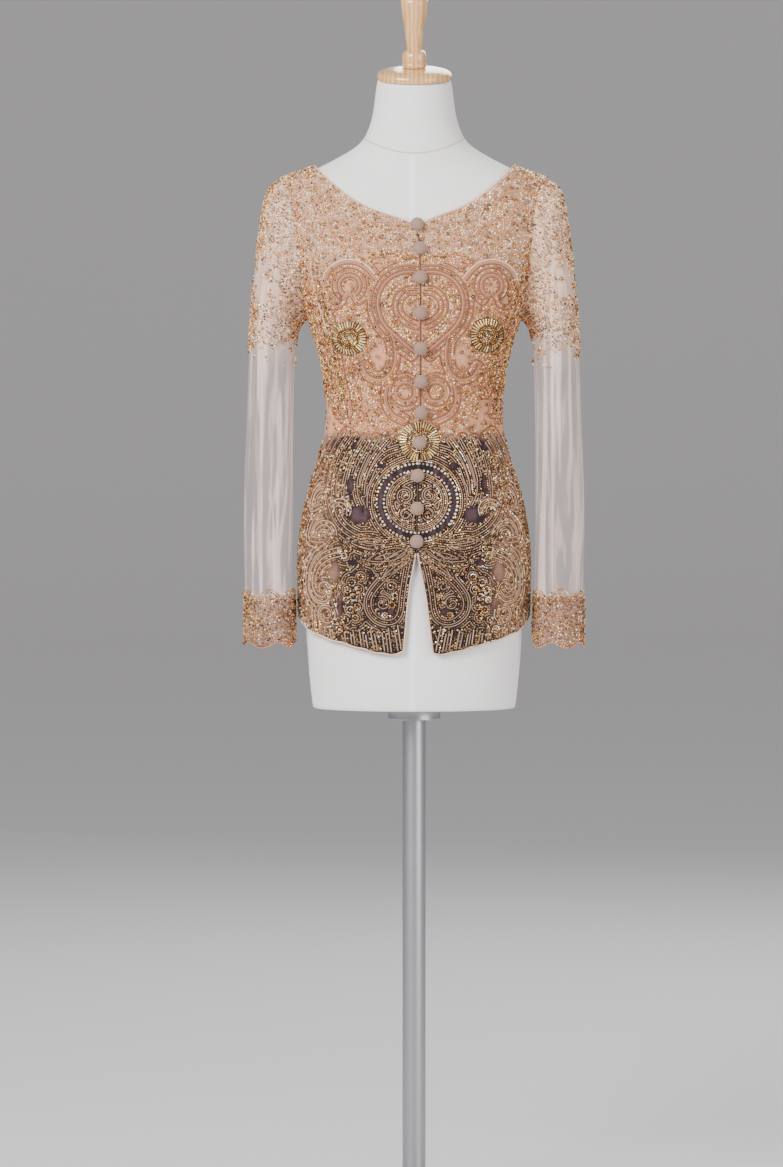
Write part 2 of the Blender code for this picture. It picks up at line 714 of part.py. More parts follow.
def seat_height(point, outward, radius, under):
    """How far above a point of the smooth surface the pieces under a round foot reach, along outward."""
    across = outward.orthogonal().normalized()
    highest = -math.inf
    for spoke in range(SEAT_PROBES):
        turn = Matrix.Rotation(2 * math.pi * spoke / SEAT_PROBES, 3, outward)
        for share in (0.0, 0.5, 1.0):
            probe = point + turn @ across * (radius * share) + outward * SEAT_REACH
            for piece in under:
                hit, place, _, _ = piece.ray_cast(probe * MILLIMETRE, -outward)
                if hit:
                    highest = max(highest, (place / MILLIMETRE - point).dot(outward))
    return highest


def buttons():
    """Each sits on the cloth at the front edge, and the eighth on the waist rosette."""
    profile = [(r * BUTTON_RADIUS, h * BUTTON_RADIUS) for r, h in BUTTON_PROFILE]
    under = [bpy.data.objects[name] for name in BUTTON_SEATS]
    for number, height in enumerate(BUTTON_HEIGHTS, start=1):
        angle = angle_across(drift_at(height), height)
        point, out = body_point(angle, height), body_normal(angle, height)
        lift = seat_height(point, out, profile[0][0], under) + SEAM_GAP
        button = turned(f"button_{number:02d}", profile, BUTTON_SEGMENTS, "button")
        stand_on(button, point + out * lift, out)


def rosette(name, across, height, radius, half=0):
    """A low dome on a panel: whole, or the half on the wearer's left (1) or right (-1)."""
    steps = ROSETTE_SEGMENTS // 2 if half else ROSETTE_SEGMENTS
    sweep = 180.0 * half if half else 360.0
    under = [bpy.data.objects[f"front_{side_name}"] for side_name in SIDE_NAMES.values()]
    raised, flat = [], []
    for ring in range(ROSETTE_RINGS + 1):
        share = ring / ROSETTE_RINGS
        dome = ROSETTE_RISE * (1 - ROSETTE_EDGE_FALL * share**4)
        top, bottom = [], []
        for step in range(steps + 1 if half else steps):
            turn = math.radians(sweep * step / steps)
            z = height + radius * share * math.cos(turn)
            angle = angle_across(across + radius * share * math.sin(turn), z)
            point, out = body_point(angle, z), body_normal(angle, z)
            lift = seat_height(point, out, ROSETTE_PROBE, under) + ROSETTE_GAP
            bottom.append(point + out * lift)
            top.append(point + out * (lift + dome))
        raised.append(top)
        flat.append(bottom)
    return wall(name, raised, flat, "beads", closed=not half)


def rosettes():
    for row in named(ROSETTE_COLUMNS, BUST_ROSETTES):
        rosette(row.name, row.across, row.height, row.radius)
    for side, side_name in SIDE_NAMES.items():
        across = drift_at(WAIST_ROSETTE_HEIGHT) + side * SEAM_GAP / 2
        rosette(f"rosette_waist_{side_name}", across, WAIST_ROSETTE_HEIGHT, WAIST_ROSETTE_RADIUS, side)


def form_point(angle, height):
    point = body_point(angle, height) - body_normal(angle, height) * form_inset_at(height)
    sideways = abs(math.sin(math.radians(angle)))
    cut = ease((height - UNDERARM_HEIGHT + 25) / 40.0) * ease((SHOULDER_TIP_HEIGHT - 4 - height) / 45.0)
    point.x *= 1 - FORM_ARMHOLE_CUT / half_width_at(height) * cut * sideways**6
    return point


def dress_form():
    """The padded torso under the blouse, from below the hips to the top of the neck, in one smooth skin."""
    builder = bmesh.new()
    rings = []
    for height in FORM_HEIGHTS:
        rise = (height - NECK_TILT_START) / (FORM_HEIGHTS[-1] - NECK_TILT_START)
        lean = math.radians(NECK_TILT) * ease(rise)
        middle = Vector((0, centre_y_at(height), height))
        turn = Matrix.Rotation(lean, 3, "X")
        ring = []
        for k in range(FORM_SEGMENTS):
            point = form_point(360.0 * k / FORM_SEGMENTS, height)
            if height == FORM_HEIGHTS[0]:
                point.z = height
            ring.append(builder.verts.new(middle + turn @ (point - middle)))
        rings.append(ring)
    for lower, upper in zip(rings, rings[1:]):
        for k in range(FORM_SEGMENTS):
            j = (k + 1) % FORM_SEGMENTS
            builder.faces.new((lower[k], lower[j], upper[j], upper[k]))
    builder.faces.new(rings[0])
    builder.faces.new(rings[-1])
    make_object("form_torso", builder, "linen")

    lean = Matrix.Rotation(math.radians(NECK_TILT), 3, "X") @ Vector((0, 0, 1))
    neck_top = Vector((0, centre_y_at(FORM_HEIGHTS[-1]), FORM_HEIGHTS[-1]))
    cap = turned("neck_cap", NECK_CAP_PROFILE, TURNED_SEGMENTS, "wood")
    stand_on(cap, neck_top + lean * STAND_GAP, lean)
    handle = turned("neck_handle", HANDLE_PROFILE, TURNED_SEGMENTS, "wood")
    stand_on(handle, neck_top + lean * (2 * STAND_GAP + NECK_CAP_PROFILE[-1][1]), lean)


def stand():
    """A round foot, a pole and the collar that carries the torso."""
    foot = (
        (0.0, 0.0),
        (BASE_RADIUS, 0.0),
        (BASE_RADIUS, BASE_THICKNESS - BASE_EDGE),
        (BASE_RADIUS - BASE_EDGE, BASE_THICKNESS),
        (0.0, BASE_THICKNESS),
    )
    turned("stand_base", foot, 2 * TURNED_SEGMENTS, "steel")
    collar_bottom = FORM_HEIGHTS[0] - STAND_GAP - COLLAR_THICKNESS
    pole_bottom = BASE_THICKNESS + STAND_GAP
    pole_top = collar_bottom - STAND_GAP
    pole = ((0.0, pole_bottom), (POLE_RADIUS, pole_bottom), (POLE_RADIUS, pole_top), (0.0, pole_top))
    turned("stand_pole", pole, TURNED_SEGMENTS, "steel")
    collar = (
        (0.0, collar_bottom),
        (COLLAR_RADIUS, collar_bottom),
        (COLLAR_RADIUS, collar_bottom + COLLAR_THICKNESS),
        (0.0, collar_bottom + COLLAR_THICKNESS),
    )
    turned("stand_collar", collar, TURNED_SEGMENTS, "steel")


def main():
    for old in list(bpy.data.objects):
        bpy.data.objects.remove(old)
    panels()
    for side in SIDE_NAMES:
        sleeve(side)
    rosettes()
    buttons()
    dress_form()
    stand()


main()
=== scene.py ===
"""A long-sleeved kebaya blouse of beaded net, buttoned on a linen dress form that stands on a pole.

The wearer faces -Y, the wearer's left is +X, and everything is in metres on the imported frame.
"""

import itertools
import json
import math
import random

import bpy
import numpy as np
from mathutils import Matrix, Vector, noise
from mathutils.bvhtree import BVHTree
from mathutils.kdtree import KDTree
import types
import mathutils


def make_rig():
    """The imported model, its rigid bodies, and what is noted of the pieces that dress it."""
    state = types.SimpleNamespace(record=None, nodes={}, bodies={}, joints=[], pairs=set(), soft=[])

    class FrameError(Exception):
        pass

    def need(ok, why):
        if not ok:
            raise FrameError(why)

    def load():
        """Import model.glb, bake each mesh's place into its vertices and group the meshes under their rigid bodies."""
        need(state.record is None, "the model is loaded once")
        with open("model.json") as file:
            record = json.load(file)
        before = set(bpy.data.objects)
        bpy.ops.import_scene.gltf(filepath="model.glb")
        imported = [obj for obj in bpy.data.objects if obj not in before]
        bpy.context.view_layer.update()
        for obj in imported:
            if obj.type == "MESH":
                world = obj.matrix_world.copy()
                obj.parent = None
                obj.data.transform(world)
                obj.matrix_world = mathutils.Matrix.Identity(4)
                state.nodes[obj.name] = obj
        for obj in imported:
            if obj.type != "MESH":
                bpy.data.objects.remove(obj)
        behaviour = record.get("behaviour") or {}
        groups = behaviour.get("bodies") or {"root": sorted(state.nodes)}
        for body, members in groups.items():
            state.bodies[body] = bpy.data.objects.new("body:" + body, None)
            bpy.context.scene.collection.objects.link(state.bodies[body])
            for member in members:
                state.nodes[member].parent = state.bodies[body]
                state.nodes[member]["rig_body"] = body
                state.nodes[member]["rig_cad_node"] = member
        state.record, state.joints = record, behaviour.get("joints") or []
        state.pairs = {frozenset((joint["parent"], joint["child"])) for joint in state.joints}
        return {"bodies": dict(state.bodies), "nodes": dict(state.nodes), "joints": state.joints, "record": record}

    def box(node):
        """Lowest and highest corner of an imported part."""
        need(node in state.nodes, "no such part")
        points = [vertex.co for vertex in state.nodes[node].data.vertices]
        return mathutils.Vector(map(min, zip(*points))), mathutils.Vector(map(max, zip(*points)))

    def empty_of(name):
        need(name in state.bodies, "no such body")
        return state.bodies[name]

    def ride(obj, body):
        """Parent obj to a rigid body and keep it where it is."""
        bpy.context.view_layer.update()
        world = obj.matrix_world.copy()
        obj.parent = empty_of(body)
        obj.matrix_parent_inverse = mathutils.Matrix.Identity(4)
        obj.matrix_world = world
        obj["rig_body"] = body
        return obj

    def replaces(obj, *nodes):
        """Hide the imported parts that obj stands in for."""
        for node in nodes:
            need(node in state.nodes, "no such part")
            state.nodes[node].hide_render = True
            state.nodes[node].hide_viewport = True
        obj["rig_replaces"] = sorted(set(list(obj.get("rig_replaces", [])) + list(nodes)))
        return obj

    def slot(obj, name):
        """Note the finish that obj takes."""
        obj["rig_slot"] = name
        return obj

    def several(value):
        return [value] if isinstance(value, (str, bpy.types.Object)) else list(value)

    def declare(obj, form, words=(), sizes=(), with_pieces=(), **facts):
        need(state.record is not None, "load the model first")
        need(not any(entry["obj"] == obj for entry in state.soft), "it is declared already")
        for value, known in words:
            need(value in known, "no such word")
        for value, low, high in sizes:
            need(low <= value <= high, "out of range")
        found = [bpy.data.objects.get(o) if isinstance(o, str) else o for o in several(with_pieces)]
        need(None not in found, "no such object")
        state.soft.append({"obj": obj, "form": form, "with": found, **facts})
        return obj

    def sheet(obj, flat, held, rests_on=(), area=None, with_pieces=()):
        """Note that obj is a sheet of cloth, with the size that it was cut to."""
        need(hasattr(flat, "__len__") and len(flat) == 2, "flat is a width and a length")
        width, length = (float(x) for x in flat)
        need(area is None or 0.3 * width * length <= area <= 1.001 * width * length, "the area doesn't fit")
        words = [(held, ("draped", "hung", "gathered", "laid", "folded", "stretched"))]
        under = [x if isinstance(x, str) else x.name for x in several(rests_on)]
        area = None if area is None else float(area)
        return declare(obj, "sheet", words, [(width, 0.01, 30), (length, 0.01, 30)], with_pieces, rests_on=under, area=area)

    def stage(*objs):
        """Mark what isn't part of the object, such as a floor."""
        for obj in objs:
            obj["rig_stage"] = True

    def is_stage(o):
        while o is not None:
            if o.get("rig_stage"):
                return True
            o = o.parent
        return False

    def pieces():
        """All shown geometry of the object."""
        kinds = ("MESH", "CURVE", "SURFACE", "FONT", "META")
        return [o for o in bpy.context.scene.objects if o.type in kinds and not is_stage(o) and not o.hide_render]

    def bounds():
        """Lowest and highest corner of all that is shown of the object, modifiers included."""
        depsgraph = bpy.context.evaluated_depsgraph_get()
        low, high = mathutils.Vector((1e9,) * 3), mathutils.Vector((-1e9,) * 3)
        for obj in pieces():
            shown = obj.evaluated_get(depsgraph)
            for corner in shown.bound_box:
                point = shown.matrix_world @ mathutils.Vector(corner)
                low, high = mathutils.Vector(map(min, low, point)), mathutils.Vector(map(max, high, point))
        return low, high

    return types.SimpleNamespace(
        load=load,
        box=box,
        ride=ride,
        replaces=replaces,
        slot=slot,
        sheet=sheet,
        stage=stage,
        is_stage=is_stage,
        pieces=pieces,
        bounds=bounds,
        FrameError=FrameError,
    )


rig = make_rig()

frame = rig.load()
cad_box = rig.bounds()

# Room: a pale round sweep of floor and wall, lit by three large soft lamps.
# The camera stands in front, a little over the waist, and looks slightly down.
AIM = Vector((-0.031, 0.0, 0.8597))
CAMERA_DISTANCE = 8.0
CAMERA_PITCH = math.radians(3.0)
bpy.ops.object.select_all(action="DESELECT")
bpy.ops.object.camera_add(
    location=AIM + CAMERA_DISTANCE * Vector((0.0, -math.cos(CAMERA_PITCH), math.sin(CAMERA_PITCH))),
    rotation=(math.radians(90.0) - CAMERA_PITCH, 0.0, 0.0),
)
camera = bpy.context.object
camera.data.lens = 180.0
camera.data.sensor_width = 36.0
camera.data.clip_end = 60.0
bpy.context.scene.camera = camera

LAMPS = (
    ("key", (-2.3, -3.0, 3.1), 2.2, 330.0),
    ("fill", (2.9, -2.6, 1.7), 2.6, 110.0),
    ("rim", (0.9, 3.0, 3.0), 2.2, 90.0),
)
for name, place, size, power in LAMPS:
    bpy.ops.object.light_add(type="AREA", location=place)
    lamp = bpy.context.object
    lamp.name = f"{name}_lamp"
    lamp.data.size = size
    lamp.data.energy = power
    lamp.rotation_euler = (Vector((0.0, 0.0, 1.0)) - Vector(place)).to_track_quat("-Z", "Y").to_euler()
    lamp.visible_camera = False
world = bpy.data.worlds.new("studio_air")
world.use_nodes = True
world.node_tree.nodes["Background"].inputs["Color"].default_value = (0.90, 0.885, 0.87, 1.0)
world.node_tree.nodes["Background"].inputs["Strength"].default_value = 0.3
bpy.context.scene.world = world


def new_finish(name):
    """A material, its node tree and its Principled shader."""
    finish = bpy.data.materials.new(name)
    finish.use_nodes = True
    return finish, finish.node_tree, finish.node_tree.nodes["Principled BSDF"]


def feed(tree, node, inputs):
    """Sets a node's inputs, each to a value, a colour, an output, or a node, for its first output."""
    for name, value in inputs.items():
        if isinstance(value, bpy.types.Node):
            value = value.outputs[0]
        if isinstance(value, bpy.types.NodeSocket):
            tree.links.new(value, node.inputs[name])
        elif node.inputs[name].type == "RGBA":
            node.inputs[name].default_value = (*value, 1.0)
        else:
            node.inputs[name].default_value = value


def add(tree, kind, inputs, **settings):
    """A new node in a tree, with its settings and its inputs."""
    node = tree.nodes.new(kind)
    for name, value in settings.items():
        setattr(node, name, value)
    feed(tree, node, inputs)
    return node


def calc(tree, operation, *values):
    """A Math node of some values."""
    return add(tree, "ShaderNodeMath", dict(enumerate(values)), operation=operation)


def mix(tree, share, first, second):
    """A mix of two colours."""
    return add(tree, "ShaderNodeMixRGB", {"Fac": share, "Color1": first, "Color2": second})


def ramp(tree, value, low, high, to_low, to_high):
    """A value that runs from low to high, turned into one that runs from to_low to to_high."""
    ends = {"From Min": low, "From Max": high, "To Min": to_low, "To Max": to_high}
    return add(tree, "ShaderNodeMapRange", {"Value": value, **ends})


def bumps(tree, height, strength, depth):
    """A Bump node of a height, and how deep it goes in metres."""
    return add(tree, "ShaderNodeBump", {"Height": height, "Strength": strength, "Distance": depth})


def cloudy(tree, vector, scale, detail):
    """A Noise node, of a vector that may be stretched."""
    return add(tree, "ShaderNodeTexNoise", {"Vector": vector, "Scale": scale, "Detail": detail})


def stretched(tree, vector, *scale):
    """A Mapping node that stretches a vector."""
    return add(tree, "ShaderNodeMapping", {"Vector": vector, "Scale": scale})


def edit_mesh(select):
    """Opens the active piece for shaping, with all of it selected, or none."""
    bpy.ops.object.mode_set(mode="EDIT")
    bpy.ops.mesh.select_all(action=select)


SWEEP_RADIUS = 17.0
SWEEP_HEIGHT = 9.0
SWEEP_CURVE = 4.0  # radius of the turn from floor to wall
bpy.ops.object.select_all(action="DESELECT")
bpy.ops.mesh.primitive_circle_add(vertices=96, radius=SWEEP_RADIUS, fill_type="NGON")
sweep = bpy.context.object
sweep.name = "studio_sweep"
edit_mesh("DESELECT")
bpy.ops.mesh.select_mode(type="EDGE")
bpy.ops.mesh.select_non_manifold()
bpy.ops.mesh.extrude_region_move(TRANSFORM_OT_translate={"value": (0.0, 0.0, SWEEP_HEIGHT)})
bpy.ops.mesh.delete(type="ONLY_FACE")
bpy.ops.mesh.select_all(action="DESELECT")
bpy.ops.object.mode_set(mode="OBJECT")
for edge in sweep.data.edges:
    edge.select = all(abs(sweep.data.vertices[v].co.z) < 1e-6 for v in edge.vertices)
bpy.ops.object.mode_set(mode="EDIT")
bpy.ops.mesh.bevel(offset=SWEEP_CURVE, segments=12, affect="EDGES")
bpy.ops.object.mode_set(mode="OBJECT")
bpy.ops.object.shade_smooth()
max(sweep.data.polygons, key=lambda face: face.area).use_smooth = False
paper, tree, shader = new_finish("backdrop_paper")
grain = add(tree, "ShaderNodeTexNoise", {"Scale": 3.0, "Detail": 3.0})
tone = mix(tree, grain, (0.60, 0.585, 0.60), (0.64, 0.625, 0.64))
feed(tree, shader, {"Base Color": tone, "Roughness": 0.9, "Emission Color": tone, "Emission Strength": 0.2})
sweep.data.materials.append(paper)
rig.stage(sweep)


# Stand: a weighted foot, a pole and a collar of brushed grey metal, hidden under the skirt in use.
# Each is turned on a lathe, so it is a half profile spun round the pole.
def piece_of(name, mesh):
    """A new piece of a mesh, the only one picked."""
    piece = bpy.data.objects.new(name, mesh)
    bpy.context.collection.objects.link(piece)
    bpy.ops.object.select_all(action="DESELECT")
    bpy.context.view_layer.objects.active = piece
    piece.select_set(True)
    return piece


def lathe(name, profile, steps=64):
    """A turned piece: its half profile of (radius, height) in millimetres, spun about the origin."""
    mesh = bpy.data.meshes.new(name)
    points = [(radius / 1000.0, 0.0, height / 1000.0) for radius, height in profile]
    mesh.from_pydata(points, [(i, i + 1) for i in range(len(points) - 1)], [])
    piece = piece_of(name, mesh)
    edit_mesh("SELECT")
    bpy.ops.mesh.spin(steps=steps, angle=math.radians(360.0), center=(0.0, 0.0, 0.0), axis=(0.0, 0.0, 1.0))
    bpy.ops.mesh.select_all(action="SELECT")
    bpy.ops.mesh.remove_doubles(threshold=0.00001)
    bpy.ops.mesh.normals_make_consistent(inside=False)
    bpy.ops.object.mode_set(mode="OBJECT")
    bpy.ops.object.shade_smooth_by_angle(angle=math.radians(35.0))
    return piece


def dress(piece, finish, slot, *nodes):
    """Gives a piece its material and its slot, rides it on the frame, and lets it stand for nodes."""
    piece.data.materials.clear()
    piece.data.materials.append(finish)
    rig.ride(piece, "root")
    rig.slot(piece, slot)
    if nodes:
        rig.replaces(piece, *nodes)
    return piece


metal, tree, shader = new_finish("brushed_metal")
place = add(tree, "ShaderNodeTexCoord", {})
brush = cloudy(tree, stretched(tree, place.outputs["Object"], 30.0, 30.0, 900.0), 1.0, 2.0)
dull = ramp(tree, brush, 0.0, 1.0, 0.28, 0.46)
lines = bumps(tree, brush, 0.15, 0.0004)
feed(tree, shader, {"Base Color": (0.42, 0.42, 0.44), "Metallic": 1.0, "Roughness": dull, "Normal": lines})

foot_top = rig.box("stand_base")[1].z * 1000.0
pole_low, pole_high = (corner.z * 1000.0 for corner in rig.box("stand_pole"))
collar_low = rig.box("stand_collar")[0].z * 1000.0
FOOT = ((0.0, 0.0), (184.0, 0.0), (185.0, 1.5), (185.0, 9.5), (183.5, 12.0), (180.0, 13.2))
foot = lathe("stand_foot", (*FOOT, (60.0, foot_top), (0.0, foot_top)), 96)
dress(foot, metal, "stand_metal", "stand_base")
pole = lathe("stand_upright", ((0.0, pole_low), (16.0, pole_low), (16.0, pole_high), (0.0, pole_high)))
dress(pole, metal, "stand_metal", "stand_pole")
COLLAR = ((0.0, 0.0), (35.0, 0.0), (36.0, 1.0), (36.0, 13.0), (34.0, 16.0), (0.0, 16.0))
collar = lathe("stand_ring", [(r, collar_low + z) for r, z in COLLAR])
dress(collar, metal, "stand_metal", "stand_collar")


# Neck cap and grip: two turned pieces of honey-coloured wood under gloss varnish, on the top of the neck.
# The neck leans forward, so both are turned upright and then tilted with it.
wood, tree, shader = new_finish("varnished_wood")
place = add(tree, "ShaderNodeTexCoord", {})
trunk = stretched(tree, place.outputs["Object"], 46.0, 46.0, 5.0)
rings = add(tree, "ShaderNodeTexWave", {"Vector": trunk, "Scale": 1.1, "Distortion": 5.0, "Detail": 3.0})
feed(tree, rings, {"Detail Scale": 1.6})
pores = cloudy(tree, stretched(tree, place.outputs["Object"], 900.0, 900.0, 60.0), 1.0, 3.0)
grain = calc(tree, "MULTIPLY", rings.outputs["Fac"], 0.75)
grain = calc(tree, "MULTIPLY_ADD", pores, 0.35, grain)
tone = mix(tree, grain, (0.52, 0.245, 0.085), (0.80, 0.47, 0.20))
feed(tree, shader, {"Base Color": tone, "Roughness": 0.28, "Coat Weight": 0.7, "Coat Roughness": 0.12})
feed(tree, shader, {"Normal": bumps(tree, grain, 0.1, 0.0004)})

NECK_LEAN = math.radians(10.0)
NECK_TOP = Vector((0.0, -0.018, 1.547))
CAP = (
    (0.0, 0.0), (47.5, 0.0), (50.4, 1.6), (51.4, 4.6), (51.0, 7.6), (49.4, 10.2), (46.2, 12.4),
    (41.0, 14.2), (34.0, 15.6), (24.0, 16.6), (0.0, 17.0),
)
GRIP = (
    (0.0, 0.0), (15.4, 0.0), (16.3, 1.2), (16.6, 3.0), (16.4, 5.0), (16.0, 6.0), (16.4, 7.0), (16.4, 15.0),
    (15.8, 18.5), (14.2, 21.6), (11.4, 23.2), (10.0, 23.8), (10.0, 27.0), (10.8, 33.0), (12.6, 46.0),
    (14.8, 60.0), (16.8, 74.0), (18.1, 84.0), (18.8, 89.0), (18.3, 92.4), (16.4, 95.0), (12.8, 96.8),
    (7.0, 97.5), (0.0, 97.5),
)
for name, profile, lift, node in (
    ("neck_lid", CAP, 0.3, "neck_cap"),
    ("neck_grip", GRIP, 17.6, "neck_handle"),
):
    turned = lathe(name, profile)
    lean = Matrix.Rotation(NECK_LEAN, 4, "X")
    lifted = Matrix.Translation((0.0, 0.0, lift / 1000.0))
    turned.data.transform(Matrix.Translation(NECK_TOP) @ lean @ lifted)
    dress(turned, wood, "wood", node)


# Dress form: a firm limbless torso, covered in off-white linen that is cut in panels.
# A flat-felled seam runs down the centre front, and another rings the foot of the neck.
def copy_of(node, name):
    """A copy of a CAD node's mesh as one closed skin, open for shaping, with its doubles merged."""
    piece = piece_of(name, frame["nodes"][node].data.copy())
    bpy.ops.mesh.customdata_custom_splitnormals_clear()
    bpy.ops.object.mode_set(mode="EDIT")
    bpy.ops.mesh.select_mode(type="FACE")
    bpy.ops.mesh.select_all(action="SELECT")
    bpy.ops.mesh.remove_doubles(threshold=0.00002)
    bpy.ops.mesh.tris_convert_to_quads(face_threshold=math.radians(50.0), shape_threshold=math.radians(70.0))
    return piece


def smooth_out(piece, levels):
    """Applies a Subdivision Surface that keeps the piece's open edges and corners."""
    modifier = piece.modifiers.new("smooth", "SUBSURF")
    modifier.levels = levels
    modifier.render_levels = levels
    modifier.boundary_smooth = "PRESERVE_CORNERS"
    bpy.ops.object.modifier_apply(modifier="smooth")
    bpy.ops.object.shade_smooth()


def new_group(name, takes, gives):
    """An empty shader group, and the node that gives what it takes."""
    group = bpy.data.node_groups.new(name, "ShaderNodeTree")
    for in_out, sockets in (("INPUT", takes), ("OUTPUT", gives)):
        for socket in sockets:
            kind = "NodeSocketVector" if socket == "Vector" else "NodeSocketFloat"
            group.interface.new_socket(socket, in_out=in_out, socket_type=kind)
    return group, add(group, "NodeGroupInput", {})


def threads_group():
    """Shader group: slubby threads that run up and across a cloth, as a height and a shade."""
    group, given = new_group("slubby_threads", ("Vector", "Threads"), ("Height", "Shade"))
    fineness = given.outputs["Threads"]
    warp = cloudy(group, stretched(group, given, 1100.0, 1100.0, 70.0), fineness, 1.0)
    weft = cloudy(group, stretched(group, given, 70.0, 70.0, 1100.0), fineness, 1.0)
    both = calc(group, "MAXIMUM", warp, weft)
    half = calc(group, "MULTIPLY", calc(group, "ADD", both, cloudy(group, given, 9.0, 4.0)), 0.5)
    add(group, "NodeGroupOutput", {"Height": both, "Shade": half})
    return group


threads = threads_group()


def cloth_threads(tree, fineness):
    """The threads group, placed in a material on Object coordinates."""
    place = add(tree, "ShaderNodeTexCoord", {})
    node = add(tree, "ShaderNodeGroup", {}, node_tree=threads)
    feed(tree, node, {"Vector": place.outputs["Object"], "Threads": fineness})
    return place, node


torso = copy_of("form_torso", "linen_torso")
bpy.ops.mesh.select_all(action="DESELECT")
bpy.ops.object.mode_set(mode="OBJECT")
NECK_END, HIP_END = 1.53, 0.70
for face in torso.data.polygons:
    face.select = abs(face.normal.z) > 0.9 and not HIP_END <= face.center.z <= NECK_END
bpy.ops.object.mode_set(mode="EDIT")
for _ in range(2):
    bpy.ops.mesh.inset(thickness=0.0015, use_even_offset=True)  # keeps the flat ends crisp when smoothed
bpy.ops.object.mode_set(mode="OBJECT")
smooth_out(torso, 1)

linen, tree, shader = new_finish("form_linen")
place, weave = cloth_threads(tree, 1.0)
axes = add(tree, "ShaderNodeSeparateXYZ", {"Vector": place.outputs["Object"]})
SEAM_CENTRE = -0.003
SEAM_HALF_WIDTH = 0.0045
SEAM_EDGE = 0.0004
NECK_RING_HEIGHT = 1.447
NECK_RING_BOW = 4.36  # how fast the ring rises away from the middle
x, y, z = axes.outputs
off_centre = calc(tree, "ABSOLUTE", calc(tree, "SUBTRACT", x, SEAM_CENTRE))
strip = ramp(tree, off_centre, SEAM_HALF_WIDTH - SEAM_EDGE, SEAM_HALF_WIDTH + SEAM_EDGE, 1.0, 0.0)
strip = calc(tree, "MULTIPLY", strip, calc(tree, "LESS_THAN", y, 0.0))
strip = calc(tree, "MULTIPLY", strip, calc(tree, "LESS_THAN", z, NECK_RING_HEIGHT))
bow = calc(tree, "MULTIPLY_ADD", calc(tree, "MULTIPLY", x, x), -NECK_RING_BOW, -NECK_RING_HEIGHT)
from_ring = calc(tree, "ABSOLUTE", calc(tree, "ADD", z, bow))
ring = ramp(tree, from_ring, SEAM_EDGE, 4.0 * SEAM_EDGE, 1.0, 0.0)
tone = mix(tree, weave.outputs["Shade"], (0.76, 0.74, 0.715), (0.92, 0.905, 0.885))
tone = mix(tree, strip, tone, (0.93, 0.925, 0.915))
tone = mix(tree, ring, tone, (0.52, 0.50, 0.47))
rise = calc(tree, "SUBTRACT", calc(tree, "MULTIPLY_ADD", strip, 1.2, weave), ring)
feed(tree, shader, {"Base Color": tone, "Roughness": 0.88, "Sheen Weight": 0.25})
feed(tree, shader, {"Normal": bumps(tree, rise, 0.35, 0.0005)})
dress(torso, linen, "linen", "form_torso")


# Lining: a sweetheart bodice of blush satin in three panels, sewn in behind the net down to the waist.
# Each panel is the outer skin of its solid, smoothed and given the cloth's own thickness.
FACING = 0.8  # how closely a face points outward where the skin is picked up
PANEL_EDGE = math.radians(52.0)  # the bend at which one skin of a panel ends


def cloth_panel(node, name, outward, thickness):
    """The outer skin of a walled solid: smooth, and thickened inwards to a cloth.

    Returns the piece, and the skin's own points and faces before it was thickened.
    """
    piece = copy_of(node, name)
    bpy.ops.mesh.select_all(action="DESELECT")
    bpy.ops.object.mode_set(mode="OBJECT")
    direction = Vector(outward)
    facing = [face for face in piece.data.polygons if face.normal.dot(direction) > FACING]
    furthest = max(facing, key=lambda face: face.center.dot(direction))
    piece.data.polygons[furthest.index].select = True
    bpy.ops.object.mode_set(mode="EDIT")
    bpy.ops.mesh.faces_select_linked_flat(sharpness=PANEL_EDGE)
    bpy.ops.mesh.select_all(action="INVERT")
    bpy.ops.mesh.delete(type="FACE")
    bpy.ops.object.mode_set(mode="OBJECT")
    smooth_out(piece, 2)
    points = np.array([vertex.co for vertex in piece.data.vertices])
    faces = [tuple(face.vertices) for face in piece.data.polygons]
    wall = piece.modifiers.new("wall", "SOLIDIFY")
    wall.thickness = thickness
    wall.offset = -1.0
    wall.use_even_offset = False
    bpy.ops.object.modifier_apply(modifier="wall")
    return piece, points, faces


def as_quads(faces):
    """Faces as an array of four corners each; a triangle has its last corner twice."""
    return np.array([face if len(face) == 4 else (*face, face[2]) for face in faces])


def cloth_area(points, faces):
    """The flat area of a cloth skin, in square metres."""
    corners = points[as_quads(faces)]
    across = np.cross(corners[:, 2] - corners[:, 0], corners[:, 3] - corners[:, 1])
    return round(float(np.linalg.norm(across, axis=1).sum() / 2.0), 4)


def woven_cloth(name, fineness, dark, light, relief, surface):
    """A plain woven cloth: its threads, two tones, how strong and deep its relief is, and its surface."""
    finish, tree, shader = new_finish(name)
    weave = cloth_threads(tree, fineness)[1]
    tone = mix(tree, weave.outputs["Shade"], dark, light)
    feed(tree, shader, {"Base Color": tone, "Normal": bumps(tree, weave, *relief), **surface})
    return finish


SATIN_SURFACE = {"Roughness": 0.42, "Sheen Weight": 0.3}
satin = woven_cloth(
    "blush_satin", 1.6, (0.60, 0.245, 0.145), (0.82, 0.40, 0.255), (0.12, 0.0003), SATIN_SURFACE
)
for node, name, outward, flat in (
    ("lining_front_right", "satin_front_right", (0.0, -1.0, 0.0), (0.20, 0.27)),
    ("lining_front_left", "satin_front_left", (0.0, -1.0, 0.0), (0.20, 0.27)),
    ("lining_back", "satin_back", (0.0, 1.0, 0.0), (0.38, 0.25)),
):
    panel, points, faces = cloth_panel(node, name, outward, 0.0006)
    dress(panel, satin, "blush_lining", node)
    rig.sheet(panel, flat=flat, area=cloth_area(points, faces), held="stretched", rests_on="form_torso")


